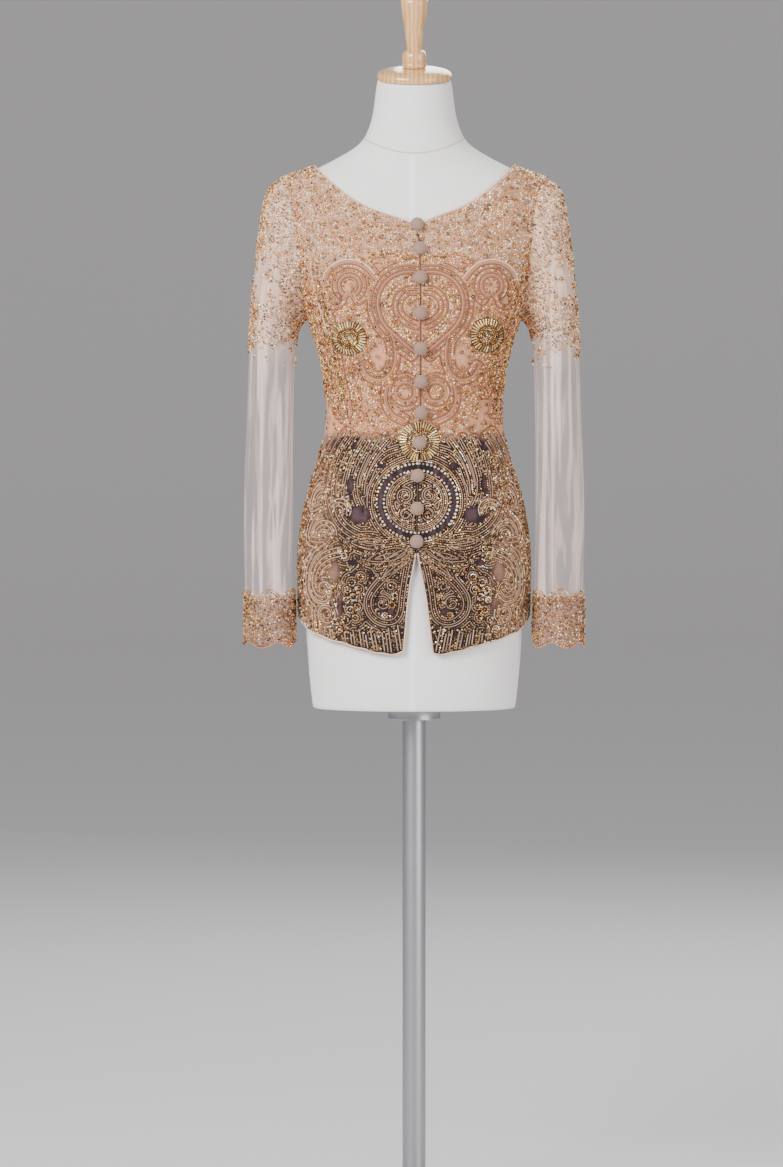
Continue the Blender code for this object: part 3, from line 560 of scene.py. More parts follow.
# Net panels: two fronts and a back of fine nude tulle, the ground that all the beadwork is sewn to.
# Over the lining it reads blush; below the waist it is bare, and its closer net there reads dusky.
def net_group():
    """Shader group: how much of a fine net is thread, from its mesh and its folds."""
    group, given = new_group("fine_net", ("Vector", "Open", "Folded"), ("Cover",))
    holes = add(group, "ShaderNodeTexVoronoi", {"Vector": given, "Scale": 620.0})
    holes.feature = "DISTANCE_TO_EDGE"
    thread = ramp(group, holes, 0.0, 0.22, 1.45, 0.8)
    folds = cloudy(group, stretched(group, given, 105.0, 105.0, 3.0), 1.0, 2.0)
    ridge = ramp(group, folds, 0.5, 0.64, 0.0, 1.0)
    ridge.interpolation_type = "SMOOTHSTEP"
    extra = calc(group, "MULTIPLY_ADD", ridge, given.outputs["Folded"], given.outputs["Open"])
    cover = calc(group, "MULTIPLY", extra, thread)
    cover.use_clamp = True
    add(group, "NodeGroupOutput", {"Cover": cover})
    return group


net_pattern = net_group()
body_net, tree, shader = new_finish("nude_net")
place, weave = cloth_threads(tree, 1.3)
axes = add(tree, "ShaderNodeSeparateXYZ", {"Vector": place.outputs["Object"]})
ragged = cloudy(tree, place.outputs["Object"], 55.0, 1.0)
x, _, z = axes.outputs
# Dusky below a ragged waist line, and less so at the sides
skirt = ramp(tree, calc(tree, "MULTIPLY_ADD", ragged, 0.026, z), 1.071, 1.083, 1.0, 0.0)
from_middle = calc(tree, "MULTIPLY_ADD", ragged, 0.03, calc(tree, "ABSOLUTE", x))
dusky = calc(tree, "MULTIPLY", skirt, ramp(tree, from_middle, 0.11, 0.15, 1.0, 0.5))
blush = mix(tree, weave.outputs["Shade"], (0.74, 0.38, 0.22), (1.0, 0.585, 0.37))
tone = mix(tree, dusky, blush, (0.08, 0.042, 0.048))
# Painted shade: darker, and the net closer, where the panel's points say that beads lie close around
painted_bead_shade = add(tree, "ShaderNodeAttribute", {}, attribute_name="painted_bead_shade").outputs["Fac"]
deepest = mix(tree, dusky, (0.36, 0.155, 0.075), (0.006, 0.004, 0.005))
shaded = calc(tree, "MULTIPLY", painted_bead_shade, ramp(tree, dusky, 0.0, 1.0, 0.36, 0.82))
shade = mix(tree, shaded, tone, deepest)
yoke = ramp(tree, z, 1.285, 1.31, 0.0, 0.04)
fuller = calc(tree, "ADD", yoke, ramp(tree, dusky, 0.0, 1.0, 0.32, 0.84))
denser = calc(tree, "MULTIPLY_ADD", calc(tree, "MULTIPLY", painted_bead_shade, dusky), 0.16, fuller)
cover = add(tree, "ShaderNodeGroup", {}, node_tree=net_pattern)
feed(tree, cover, {"Vector": place.outputs["Object"], "Open": denser, "Folded": 0.0})
feed(tree, shader, {"Base Color": shade, "Alpha": cover, "Roughness": 0.6, "Sheen Weight": 0.08})
feed(tree, shader, {"Specular IOR Level": 0.1, "Normal": bumps(tree, weave, 0.3, 0.0004)})
# Each panel's skin, and what it is as a sheet
skins, cloths = {}, {}


def net_panel(node, outward, thickness, finish, slot, flat, held):
    """One panel of net. Its sheet is declared once its beadwork is sewn on."""
    panel, points, faces = cloth_panel(node, f"net_{node}", outward, thickness)
    dress(panel, finish, slot, node)
    skins[node] = (points, faces)
    area = cloth_area(points, faces)
    cloths[node] = {"obj": panel, "flat": flat, "area": area, "held": held, "with_pieces": []}


for node, outward, flat in (
    ("front_right", (0.0, -1.0, 0.0), (0.26, 0.67)),
    ("front_left", (0.0, -1.0, 0.0), (0.26, 0.67)),
    ("back", (0.0, 1.0, 0.0), (0.50, 0.64)),
):
    net_panel(node, outward, 0.0007, body_net, "embroidered_net", flat, "stretched")


# Sleeves: one long tube of sheerer, paler net each, set in the armhole, that hangs in a few soft folds.
# The net is doubled along the folds, so these stand out as milky streaks.
sleeve_net, tree, shader = new_finish("sheer_net")
place, weave = cloth_threads(tree, 1.3)
z = add(tree, "ShaderNodeSeparateXYZ", {"Vector": place.outputs["Object"]}).outputs["Z"]
cuff = ramp(tree, z, 0.842, 0.848, 0.74, 0.0)
upper = ramp(tree, z, 1.15, 1.26, 0.0, 0.33)
closer = calc(tree, "ADD", calc(tree, "ADD", cuff, upper), 0.06)
cover = add(tree, "ShaderNodeGroup", {}, node_tree=net_pattern)
feed(tree, cover, {"Vector": place.outputs["Object"], "Open": closer, "Folded": 0.42})
tone = mix(tree, weave.outputs["Shade"], (0.72, 0.55, 0.50), (0.90, 0.76, 0.71))
tone = mix(tree, upper, tone, (1.0, 0.52, 0.26))
tone = mix(tree, cuff, tone, (0.19, 0.065, 0.03))
feed(tree, shader, {"Base Color": tone, "Alpha": cover, "Roughness": 0.55, "Sheen Weight": 0.3})
feed(tree, shader, {"Sheen Roughness": 0.4, "Specular IOR Level": 0.15})
for node, side in (("sleeve_right", -1.0), ("sleeve_left", 1.0)):
    net_panel(node, (side, 0.0, 0.0), 0.0005, sleeve_net, "sleeve_net", (0.36, 0.66), "hung")


# Embroidery: cords couched on the net, with seed beads, cut beads, bugles, rings and crystals sewn beside.
# Each motif is drawn flat, in millimetres across from the button line and above the floor, then laid on
# the net from one side of the blouse, its mirror image on the other half.
def surface_of(*nodes):
    """A tree for finding the nearest point of some cloth skins."""
    points, faces, start = [], [], 0
    for node in nodes:
        points.extend(Vector(point) for point in skins[node][0])
        faces.extend(tuple(start + corner for corner in face) for face in skins[node][1])
        start = len(points)
    return BVHTree.FromPolygons(points, faces)


BODY_PANELS = ("front_right", "front_left", "back")
blouse = surface_of(*BODY_PANELS)
dice = random.Random(7)
LINE_STEP = 1.5  # millimetres, between the points of a drawn line
FRONT_EDGE_HEIGHTS = (0.766, 0.908, 1.0, 1.1, 1.3, 1.354)
FRONT_EDGE_DRIFT = (0.005, 0.003, 0.004, 0.0085, 0.008, 0.0035)


def button_line(height):
    """How far to the wearer's left the front edges meet, at a height."""
    return float(np.interp(height, FRONT_EDGE_HEIGHTS, FRONT_EDGE_DRIFT))


def smooth_line(points):
    """A smooth line through flat points."""
    knots = np.array([points[0], *points, points[-1]], float)
    knots[0] = 2 * knots[1] - knots[2]
    knots[-1] = 2 * knots[-2] - knots[-3]
    share = np.linspace(0.0, 1.0, 12, endpoint=False)[:, None]
    dense = [points[0]]
    for a, b, c, d in zip(knots, knots[1:], knots[2:], knots[3:]):
        bend = 2 * b + (c - a) * share + (2 * a - 5 * b + 4 * c - d) * share**2
        dense.extend((bend + (3 * b - a - 3 * c + d) * share**3) / 2)
    return paced(np.array([*dense[1:], points[-1]], float), LINE_STEP)


def paced(line, step, *others):
    """A line, and any values along it, taken again at equal steps."""
    run = np.concatenate([[0.0], np.cumsum(np.linalg.norm(np.diff(line, axis=0), axis=1))])
    marks = np.linspace(0.0, run[-1], max(2, int(round(run[-1] / step)) + 1))
    taken = [np.array([np.interp(marks, run, column) for column in each.T]).T for each in (line, *others)]
    return taken if others else taken[0]


def unit(vectors):
    """Rows of vectors, each made one long."""
    return vectors / (np.linalg.norm(vectors, axis=1)[:, None] + 1e-12)


def beside(line, gap):
    """The line that runs a gap to the left of a flat line."""
    ahead = unit(np.gradient(line, axis=0))
    return line + gap * np.column_stack([-ahead[:, 1], ahead[:, 0]])


def arc(across, height, wide, tall, start=0.0, end=360.0):
    """A flat arc, from one angle to another: 0 is outward from the button line, 90 is up."""
    turn = np.radians(np.linspace(start, end, max(4, int(abs(end - start) / 15))))
    return np.column_stack([across + wide * np.cos(turn), height + tall * np.sin(turn)])


def leaf(across, height, length, width, tilt):
    """A flat leaf outline with its point towards the button line, tilted in degrees."""
    share = np.linspace(0.0, 1.0, 9)
    swell = width / 2 * np.sin(math.pi * share**0.8) ** 0.8
    run = np.concatenate([share, share[::-1]]) * length - length / 2
    side = np.concatenate([swell, -swell[::-1]])
    ahead = np.array((math.cos(math.radians(tilt)), math.sin(math.radians(tilt))))
    left = np.array((-ahead[1], ahead[0]))
    return np.array((across, height)) + run[:, None] * ahead + side[:, None] * left


def curl(across, height, outer, inner, start, turns):
    """A flat spiral from its outer radius to its inner one."""
    turn = np.radians(start + np.linspace(0.0, 360.0 * turns, int(14 * abs(turns)) + 2))
    radius = np.linspace(outer, inner, len(turn))
    return np.column_stack([across + radius * np.cos(turn), height + radius * np.sin(turn)])


EDGE_MARGIN = 0.0012  # how near the front edge the work may come
OUTSIDE = 0.6  # how far from the middle of the body a ray starts


def lay(line, side, turn):
    """Lays a flat line on the blouse as seen from a turn round it; returns runs of places and normals."""
    angle = math.radians(turn)
    inward = Vector((-side * math.sin(angle), math.cos(angle), 0.0))
    along = Vector((side * math.cos(angle), math.sin(angle), 0.0))
    runs = [[]]
    for across, height in line / 1000.0:
        hit = None
        if turn != 0.0 or across >= EDGE_MARGIN:
            start = along * across - inward * OUTSIDE + Vector((0.0, 0.0, height))
            start.x += button_line(height) * math.cos(angle) ** 2 * (turn < 90.0)
            hit, normal, _, _ = blouse.ray_cast(start, inward, OUTSIDE)
        if hit is None:
            runs.append([])
        else:
            runs[-1].append((hit, normal))
    return [tuple(map(np.array, zip(*run))) for run in runs if len(run) > 1]


LYING_TUBE = {"vertices": 6, "radius": 0.5, "depth": 1.0, "rotation": (0.0, math.pi / 2, 0.0)}
TORUS = {"major_radius": 0.36, "minor_radius": 0.15, "major_segments": 8, "minor_segments": 3}
CUT_CONE = {"vertices": 8, "radius1": 0.5, "radius2": 0.3, "depth": 0.45}
BEAD_KINDS = {
    "seed": (bpy.ops.mesh.primitive_ico_sphere_add, {"subdivisions": 1, "radius": 0.5}),
    "cut": (bpy.ops.mesh.primitive_uv_sphere_add, {"segments": 4, "ring_count": 2, "radius": 0.5}),
    "bugle": (bpy.ops.mesh.primitive_cylinder_add, LYING_TUBE),
    "ring": (bpy.ops.mesh.primitive_torus_add, TORUS),
    "crystal": (bpy.ops.mesh.primitive_cone_add, CUT_CONE),
}


def bead_shape(make, sizes):
    """The points and triangles of one bead, a millimetre across, with its hole along X."""
    bpy.ops.object.select_all(action="DESELECT")
    make(**sizes)
    bpy.ops.object.transform_apply(location=False, rotation=True, scale=False)
    edit_mesh("SELECT")
    bpy.ops.mesh.quads_convert_to_tris()
    bpy.ops.object.mode_set(mode="OBJECT")
    made = bpy.context.object
    points = np.array([vertex.co for vertex in made.data.vertices])
    faces = np.array([face.vertices for face in made.data.polygons])
    bpy.data.objects.remove(made)
    return points / 1000.0, faces


SHAPES = {kind: bead_shape(*made_from) for kind, made_from in BEAD_KINDS.items()}
ROUND_SHAPES = ("seed", "ring")
# Colours of cords and beads, and how metallic they look
TINTS = {
    "pale": (0.93, 0.62, 0.46, 0.0),
    "blush": (0.54, 0.25, 0.15, 0.0),
    "rose": (0.24, 0.08, 0.042, 0.0),
    "nude": (0.56, 0.375, 0.26, 0.0),
    "cream": (0.35, 0.22, 0.15, 0.0),
    "brass": (0.39, 0.225, 0.11, 0.4),
    "bronze": (0.15, 0.075, 0.035, 0.4),
    "champagne": (0.84, 0.50, 0.25, 0.5),
    "gold": (0.74, 0.36, 0.08, 0.6),
    "peach": (0.88, 0.46, 0.24, 0.15),
    "ivory": (1.0, 0.65, 0.40, 0.05),
    "amber": (0.34, 0.115, 0.02, 0.45),
    "straw": (1.0, 0.64, 0.28, 0.3),
    "silver": (1.0, 0.86, 0.66, 0.3),
    "dark": (0.03, 0.022, 0.02, 0.1),
    "shadow": (0.07, 0.035, 0.025, 0.0),
}
cord_finish, tree, shader = new_finish("couched_cord")
tint = add(tree, "ShaderNodeAttribute", {}, attribute_name="tint")
place, twist = cloth_threads(tree, 2.0)
tone = mix(tree, ramp(tree, twist.outputs["Shade"], 0.3, 1.0, 0.0, 0.12), tint, (0.82, 0.60, 0.44))
feed(tree, shader, {"Base Color": tone, "Roughness": 0.6, "Specular IOR Level": 0.2})
feed(tree, shader, {"Normal": bumps(tree, twist, 0.5, 0.0004)})
bead_finish, tree, shader = new_finish("glass_beads")
tint = add(tree, "ShaderNodeAttribute", {}, attribute_name="tint")
feed(tree, shader, {"Base Color": tint, "Metallic": tint.outputs["Alpha"], "Roughness": 0.2})
feed(tree, shader, {"Specular IOR Level": 0.4})
# Painted glints and painted shade: lit and shaded copies of each bead colour, one picked for each bead
PAINTED_GLINTS = (0.3, 0.55, 0.75, 0.9, 1.0, 1.15, 1.9)  # how light beads of one colour may look
cords, beads, outlines = [], [], {}


def panel_of(place):
    """The cloth panel that a place lies on."""
    if place[1] >= 0.0:
        return "back"
    return "front_left" if place[0] > button_line(place[2]) else "front_right"


def painted_light(places):
    """How light the work is painted at some places: painted light round the neck and over the upper skirt in front,
    and painted shade in front towards the hem.
    """
    across, forward, height = places.T
    skirt = np.interp(height, (0.925, 0.955, 1.054, 1.064), (-0.34, 0.16, 0.16, 0.0))
    middle = np.interp(np.abs(across), (0.085, 0.115), (1.0, 0.0)) * (forward < 0.0)
    neck = np.interp(height, (1.285, 1.30), (0.0, 0.14))
    return (1.0 + skirt * middle + neck)[:, None]


CORD_STEP = 0.0032
BEAD_LIFT = 0.0004  # how high the middle of a bead lies, in metres for each millimetre of its height
BEAD_SIZES, BEAD_SHADES = (0.88, 1.12), (0.85, 1.15)  # how much beads of one kind may vary


def couch(places, normals, width, tint, panel=None):
    """A cord sewn down along a laid line."""
    places, normals = paced(places, CORD_STEP, normals)
    cords.append((panel or panel_of(places[len(places) // 2]), places, normals, width / 1000.0, tint))


def sew(kind, places, normals, size, palette, ahead=None, panel=None):
    """Beads sewn at places: their shape, size in millimetres, colours to choose from, and hole direction."""
    if not len(places):
        return
    panel = panel or panel_of(places[len(places) // 2])
    kind = "cut" if (kind, panel) == ("seed", "back") else kind
    places, normals = np.array(places), unit(np.array(normals))
    if ahead is None:
        ahead = np.cross(normals, np.array([dice.uniform(-1, 1), dice.uniform(-1, 1), 1.0]))
    ahead = unit(ahead - normals * np.sum(ahead * normals, axis=1)[:, None])
    sizes = np.array([[dice.uniform(*BEAD_SIZES)] for _ in places]) * np.array(size)
    tints = np.array([TINTS[dice.choice(palette)] for _ in places])
    # Each bead's colour is painted lighter or darker, as a painted glint or a painted shade
    tints[:, :3] *= np.array([[dice.choice(PAINTED_GLINTS) * dice.uniform(*BEAD_SHADES)] for _ in places])
    # Painted light and shade, by where each bead lies
    tints[:, :3] = (tints[:, :3] * painted_light(places)).clip(0.0, 1.0)
    lifted = places + normals * (sizes[:, 2:3] * BEAD_LIFT)
    beads.append((panel, kind, lifted, normals, ahead, sizes, tints))


# What each letter of a band's plan sews: a cord of a colour, or a row of beads
CORD_ROWS = {
    "p": ("pale", 2.0), "l": ("blush", 1.8), "r": ("rose", 1.6), "c": ("cream", 1.8), "n": ("nude", 1.8),
}
BEAD_ROWS = {
    "s": ("seed", 3.2, (3.1, 2.2, 2.0), ("brass", "champagne", "brass", "brass", "champagne", "bronze")),
    "g": ("seed", 3.0, (2.8, 2.3, 2.0), ("gold", "gold", "champagne", "amber", "ivory")),
    "f": ("cut", 3.2, (3.8, 2.8, 2.3), ("champagne", "silver", "brass", "brass", "gold", "bronze")),
    "w": ("crystal", 5.4, (3.6, 3.4, 3.0), ("silver", "silver", "champagne")),
}
ROW_GAP = 3.1
FLOWER_PITCH = 0.0029
FLOWER_SEED, FLOWER_HEART = (3.0, 2.8, 2.2), (3.2, 3.2, 2.4)


def row(letter, places, normals, panel=None):
    """One row of a band, on a laid line: a cord or beads."""
    if letter in CORD_ROWS:
        tint, width = CORD_ROWS[letter]
        couch(places, normals, width, tint, panel)
        return
    kind, pitch, size, palette = BEAD_ROWS[letter]
    if np.linalg.norm(np.diff(places, axis=0), axis=1).sum() < pitch / 1000.0:
        return
    places, normals = paced(places, pitch / 1000.0, normals)
    sew(kind, places, normals, size, palette, np.gradient(places, axis=0), panel)


def band(plan, points, side, turn, gap=ROW_GAP):
    """Parallel rows along a flat line, the first on it and the next to its left. A dash leaves one out."""
    line = smooth_line(points)
    for place, letter in enumerate(plan):
        if letter != "-":
            drawn = beside(line, gap * place)
            if side == 1:
                outlines.setdefault(turn, []).append(drawn)
            for places, normals in lay(drawn, side, turn):
                row(letter, places, normals)


def flower(across, height, radius, side, turn):
    """A little flower: a crystal in a ring of gold seed beads."""
    ring = arc(across, height, radius, radius, 0.0, 315.0)
    if side == 1:
        outlines.setdefault(turn, []).append(ring)
    for places, normals in lay(ring, side, turn):
        places, normals = paced(places, FLOWER_PITCH, normals)
        sew("seed", places, normals, FLOWER_SEED, ("gold", "champagne", "champagne", "silver"))
    heart = np.array([(across, height), (across + 0.1, height)])
    for places, normals in lay(heart, side, turn):
        sew("crystal", places[:1], normals[:1], FLOWER_HEART, ("silver", "amber"))


# Skirt of the blouse: in front a round medallion under the waist rosette, long curved bands that sweep
# down from the waist, a fan of leaves from the last button, a tall drop beside the slit, and side scrolls.
def sew_motifs(front, flowers, at_side):
    """Sews motifs on both halves: the front ones also behind, and others as seen from some turns."""
    for side in (1, -1):
        for turn in (0.0, 180.0):
            for plan, line, *gap in front:
                band(plan, line, side, turn, *gap)
            for blossom in flowers:
                flower(*blossom, side, turn)
        for turn, motifs in at_side.items():
            for plan, line, *gap in motifs:
                band(plan, line, side, turn, *gap)


def fan_leaf(tilt):
    """A leaf of the fan that spreads from the last button."""
    across, height = 4 + 31 * math.cos(math.radians(tilt)), 914 + 31 * math.sin(math.radians(tilt))
    return leaf(across, height, 58.0, 11.0, tilt)


MEDALLION = (0.0, 975.8)
MEDALLION_SQUASH = 0.94
MEDALLION_ROWS = (
    (64.5, "s"), (61.5, "c"), (58.6, "f"), (54.6, "w"), (45.0, "w"), (41.0, "c"), (38.4, "s"), (35.8, "c"),
    (33.0, "f"),
)
HIP_CURVE = ((88, 1064), (101, 1043), (110, 1017), (113, 985), (104, 953), (82, 934), (50, 927), (20, 930))
DROP = (
    (5, 908), (12, 880), (17, 850), (20, 826), (28, 813), (41, 809), (56, 814), (67, 827), (68, 845),
    (58, 862), (42, 878), (24, 893), (5, 910),
)
SKIRT_FLOWERS = (
    (88, 866, 4.4), (79, 857, 4.0), (94, 856, 4.2), (86, 846, 4.4), (96, 842, 3.8), (81, 833, 4.2),
    (91, 829, 4.4), (84, 818, 4.0), (98, 815, 4.2), (106, 802, 4.4), (112, 812, 3.8), (76, 874, 3.8),
    (34, 836, 3.8), (44, 822, 3.6), (30, 849, 3.4), (98, 902, 3.8), (92, 911, 3.6), (106, 908, 3.6),
)
SIDE_SCROLL = ((-13, 848), (-2, 839), (15, 843), (25, 858), (23, 878), (12, 896), (-6, 908), (-26, 914))
FAN_ROWS = ((6.0, "f"), (9.0, "n"), (12.0, "s"), (15.0, "n"), (18.0, "f"), (21.0, "n"))
skirt_front = (
    *(
        (letter, arc(*MEDALLION, radius, radius * MEDALLION_SQUASH, 88.5, -88.5))
        for radius, letter in MEDALLION_ROWS
    ),
    ("cs", curl(17.0, 984.0, 11.0, 3.0, -60.0, 1.4)),
    ("cs", curl(15.0, 959.0, 8.5, 2.5, 120.0, -1.3)),
    ("scscs", HIP_CURVE),
    ("sc", ((72, 1060), (86, 1034), (94, 1006), (96, 980), (90, 964))),
    ("cs", ((56, 1061), (71, 1034), (81, 1006), (80, 984), (74, 970))),
    ("cf", ((40, 1058), (57, 1035), (69, 1008), (72, 985))),
    ("sc", ((26, 1047), (44, 1040), (58, 1024), (68, 1000))),
    ("csf", leaf(67.0, 919.0, 44.0, 15.0, 4.0)),
    ("cs", leaf(67.0, 919.0, 26.0, 6.0, 4.0)),
    ("csf", leaf(40.0, 903.0, 56.0, 16.0, -14.0)),
    ("c", leaf(42.0, 902.0, 30.0, 6.0, -14.0)),
    ("cs", fan_leaf(-30.0)),
    ("cs", fan_leaf(-44.0)),
    ("cscs", DROP),
    ("cs", curl(47.0, 838.0, 10.5, 3.0, 60.0, 1.3)),
    ("cs", curl(35.0, 861.0, 8.0, 2.5, 200.0, -1.2)),
)
skirt_side = [
    ("nsnsns", SIDE_SCROLL),
    ("ns", ((-13, 848), (-12, 860), (-3, 866), (6, 861), (5, 853))),
    ("ns", curl(-4.0, 822.0, 14.0, 4.0, 150.0, 1.6)),
]
for radius, letter in FAN_ROWS:
    skirt_side.append((letter, arc(2.0, 928.0, radius, radius, 176.0, 4.0)))
    skirt_side.append((letter, arc(-16.0, 962.0, radius * 0.8, radius * 0.8, 200.0, 20.0)))
    skirt_side.append((letter, arc(16.0, 975.0, radius * 0.8, radius * 0.8, 160.0, -20.0)))
sew_motifs(skirt_front, SKIRT_FLOWERS, {60.0: skirt_side, 124.0: skirt_side})


# Bodice: a heart of rose cords and crystals round the fourth button, scrolls at the armholes, loops below
# the bust, gold rows down the side seams, and close gold beadwork over the yoke.
HEART = (
    (2, 1287), (12, 1289), (25, 1288), (40, 1282), (52, 1271), (59, 1255), (60, 1238), (55, 1221),
    (46, 1208), (34, 1197), (22, 1186), (9, 1176),
)
OUTER_CRYSTALS = (
    (3, 1277), (18, 1279), (33, 1274), (45, 1262), (50, 1246), (48, 1230), (38, 1215), (24, 1202), (9, 1190),
)
INNER_CRYSTALS = ((8, 1269), (22, 1269), (34, 1261), (41, 1247), (39, 1232), (28, 1217), (14, 1204))
SCROLL_ROWS = ((11.5, "r"), (14.3, "l"), (17.1, "r"), (20.4, "g"), (23.4, "r"))
LOOP_ROWS = ((10.5, "r"), (13.3, "l"), (16.5, "g"), (19.5, "r"))
bodice_front = (
    ("rlr", HEART[::-1], 2.6),
    ("-sr", HEART, 2.8),
    ("w", OUTER_CRYSTALS),
    ("w", INNER_CRYSTALS),
    ("rgrgg", ((4, 1261), (15, 1261), (26, 1254), (31, 1242), (28, 1229), (17, 1219), (5, 1214))),
    *((letter, arc(96.0, 1268.0, radius, radius, -60.0, 240.0)) for radius, letter in SCROLL_ROWS),
    ("rlp", ((128, 1268), (122, 1285), (106, 1296), (88, 1296), (74, 1288), (62, 1274)), -3.0),
    ("rs", arc(115.0, 1250.0, 8.5, 8.5)),
    ("lrs", ((40, 1204), (35, 1188), (34, 1168), (40, 1150), (54, 1140), (70, 1144), (80, 1158)), 2.8),
    *((letter, arc(21.0, 1124.0, radius, radius, 0.0, 350.0)) for radius, letter in LOOP_ROWS),
    ("lr", ((46, 1132), (48, 1112), (39, 1094), (22, 1085)), -3.0),
    ("ggl", leaf(52.0, 1338.0, 52.0, 20.0, 12.0)),
    ("gl", leaf(104.0, 1340.0, 42.0, 20.0, 52.0)),
    ("gl", curl(126.0, 1376.0, 15.0, 4.0, 160.0, -1.5)),
    ("gl", curl(84.0, 1316.0, 11.0, 3.0, 20.0, 1.5)),
    ("psgs", ((149, 1300), (145, 1271), (140, 1249), (133, 1227), (125, 1200)), -2.9),
    ("gsgfs", ((125, 1200), (126, 1182), (122, 1149), (114, 1115), (111, 1092)), -3.1),
    ("gg", ((8, 1304), (30, 1308), (52, 1306), (70, 1302))),
)
SIDE_SEAM = ((20, 1232), (14, 1205), (9, 1175), (6, 1145), (6, 1120))
side_seam_behind = [(-across, height) for across, height in SIDE_SEAM]
seam_rows = {60.0: [("gsgg", SIDE_SEAM, -3.2)], 124.0: [("gsgg", side_seam_behind, 3.2)]}
sew_motifs(bodice_front, (), seam_rows)


# Edges: the hem and the neck of the net are bound with a fine pale cord, and the front edges with a near-black one
# that paints the shadow between the fronts; above the hem a frill of short cords and bead rows stands up from it,
# close together.
def open_edges(node):
    """The open edges of a cloth skin, as closed lines of points, the longest first."""
    points, faces = skins[node]
    uses = {}
    for face in faces:
        for a, b in zip(face, (*face[1:], face[0])):
            uses[frozenset((a, b))] = (a, b) if frozenset((a, b)) not in uses else None
    following = dict(pair for pair in uses.values() if pair)
    lines = []
    while following:
        first = here = next(iter(following))
        line = [here]
        while here in following:
            here = following.pop(here)
            line.append(here)
            if here == first:
                break
        lines.append(points[line])
    return sorted(lines, key=len, reverse=True)


def nearest(tree, places):
    """The nearest places on a skin, and the normals there."""
    found = [tree.find_nearest(Vector(place)) for place in places]
    return np.array([hit[0] for hit in found]), np.array([hit[1] for hit in found])


def tree_of(places):
    """A tree for finding how far the nearest of some places is."""
    tree = KDTree(len(places))
    for number, place in enumerate(places):
        tree.insert(place, number)
    tree.balance()
    return tree


def sewn_so_far(panel=None):
    """A tree of the sewn work, all of it or one panel's."""
    work = [stroke[:2] for stroke in cords] + [(group[0], group[2]) for group in beads]
    return tree_of(np.concatenate([places for sewn_on, places in work if panel in (None, sewn_on)]))


def runs_of(kept):
    """The runs of places in a row that are kept, as arrays of numbers."""
    pieces = np.split(np.arange(len(kept)), np.flatnonzero(np.diff(kept.astype(int))) + 1)
    return [run for run in pieces if kept[run[0]] and len(run) > 3]


def patch(place, grain, seed=0.0):
    """A soft random value from -1 to 1 at a place, that changes over a grain in metres."""
    return noise.noise(Vector(place) / grain + Vector((seed, seed, seed)))


EDGE_STEP = 0.002
HEM_TOP = 0.835
SLIT_TOP = 0.907
SLIT_HALF_WIDTH = 0.04
NECK_LOW = 1.352
NECK_HALF_WIDTH = 0.137
FRILL_PITCH = 0.0047
FRILL_ROWS = "nfncnsn"
FRILL_FOOT, FRILL_STEP, FRILL_CLEAR = 0.003, 0.0026, 0.003
FRILL_HEIGHT, FRILL_VARIES = 0.018, (-0.005, 0.004)
FRILL_EXTRA, FRILL_EXTRA_REACH = 0.022, 0.11  # how much higher it is at the buttons, and how far from them
FRILL_BACK = 0.4  # how much of the front's extra height the back's frill has
FRILL_LEAN, FRILL_SWAY = 0.16, 0.12


def at_hem(line):
    """Which points of an edge line lie on the hem, where it runs more across than up."""
    ahead = np.gradient(line, axis=0)
    return (np.abs(ahead[:, 2]) < 0.75 * np.linalg.norm(ahead, axis=1)) & (line[:, 2] < HEM_TOP)


sewn = sewn_so_far()
for panel in BODY_PANELS:
    skin = surface_of(panel)
    edge = open_edges(panel)[0]
    line = paced(edge, EDGE_STEP)
    across, forward, height = line.T
    from_buttons = np.abs(across - [button_line(z) for z in height])
    front_edge = (from_buttons < EDGE_MARGIN) & (forward < 0.0)
    slit = (height < SLIT_TOP) & (forward < -0.07) & (np.abs(across) < SLIT_HALF_WIDTH)
    hem = at_hem(line) | slit
    neck = (height > NECK_LOW) & (np.abs(across) < NECK_HALF_WIDTH) & ~front_edge
    front_edge = front_edge & ~hem & ~neck
    # The front edges take a near-black cord, painted as the shadow in the gap between the fronts
    for chosen, width, tint in ((hem, 2.4, "pale"), (neck, 2.0, "pale"), (front_edge, 1.3, "shadow")):
        for run in runs_of(chosen):
            couch(*nearest(skin, line[run]), width, tint, panel)
    feet = paced(edge, FRILL_PITCH)
    for number, foot in enumerate(feet[at_hem(feet)]):
        near_front = FRILL_BACK if panel == "back" else max(0.0, 1.0 - abs(foot[0]) / FRILL_EXTRA_REACH)
        reach = FRILL_HEIGHT + FRILL_EXTRA * near_front + dice.uniform(*FRILL_VARIES)
        lean = (FRILL_LEAN + FRILL_SWAY * patch(foot, 0.02)) * math.copysign(1.0, foot[0])
        rises = np.arange(FRILL_FOOT, reach, FRILL_STEP)
        places, normals = nearest(skin, foot + np.outer(rises, (lean, 0.0, 1.0)))
        clear = [sewn.find(place)[2] > FRILL_CLEAR for place in places]
        length = clear.index(False) if False in clear else len(clear)
        if length > 3:
            row(FRILL_ROWS[number % len(FRILL_ROWS)], places[:length], normals[:length], panel)


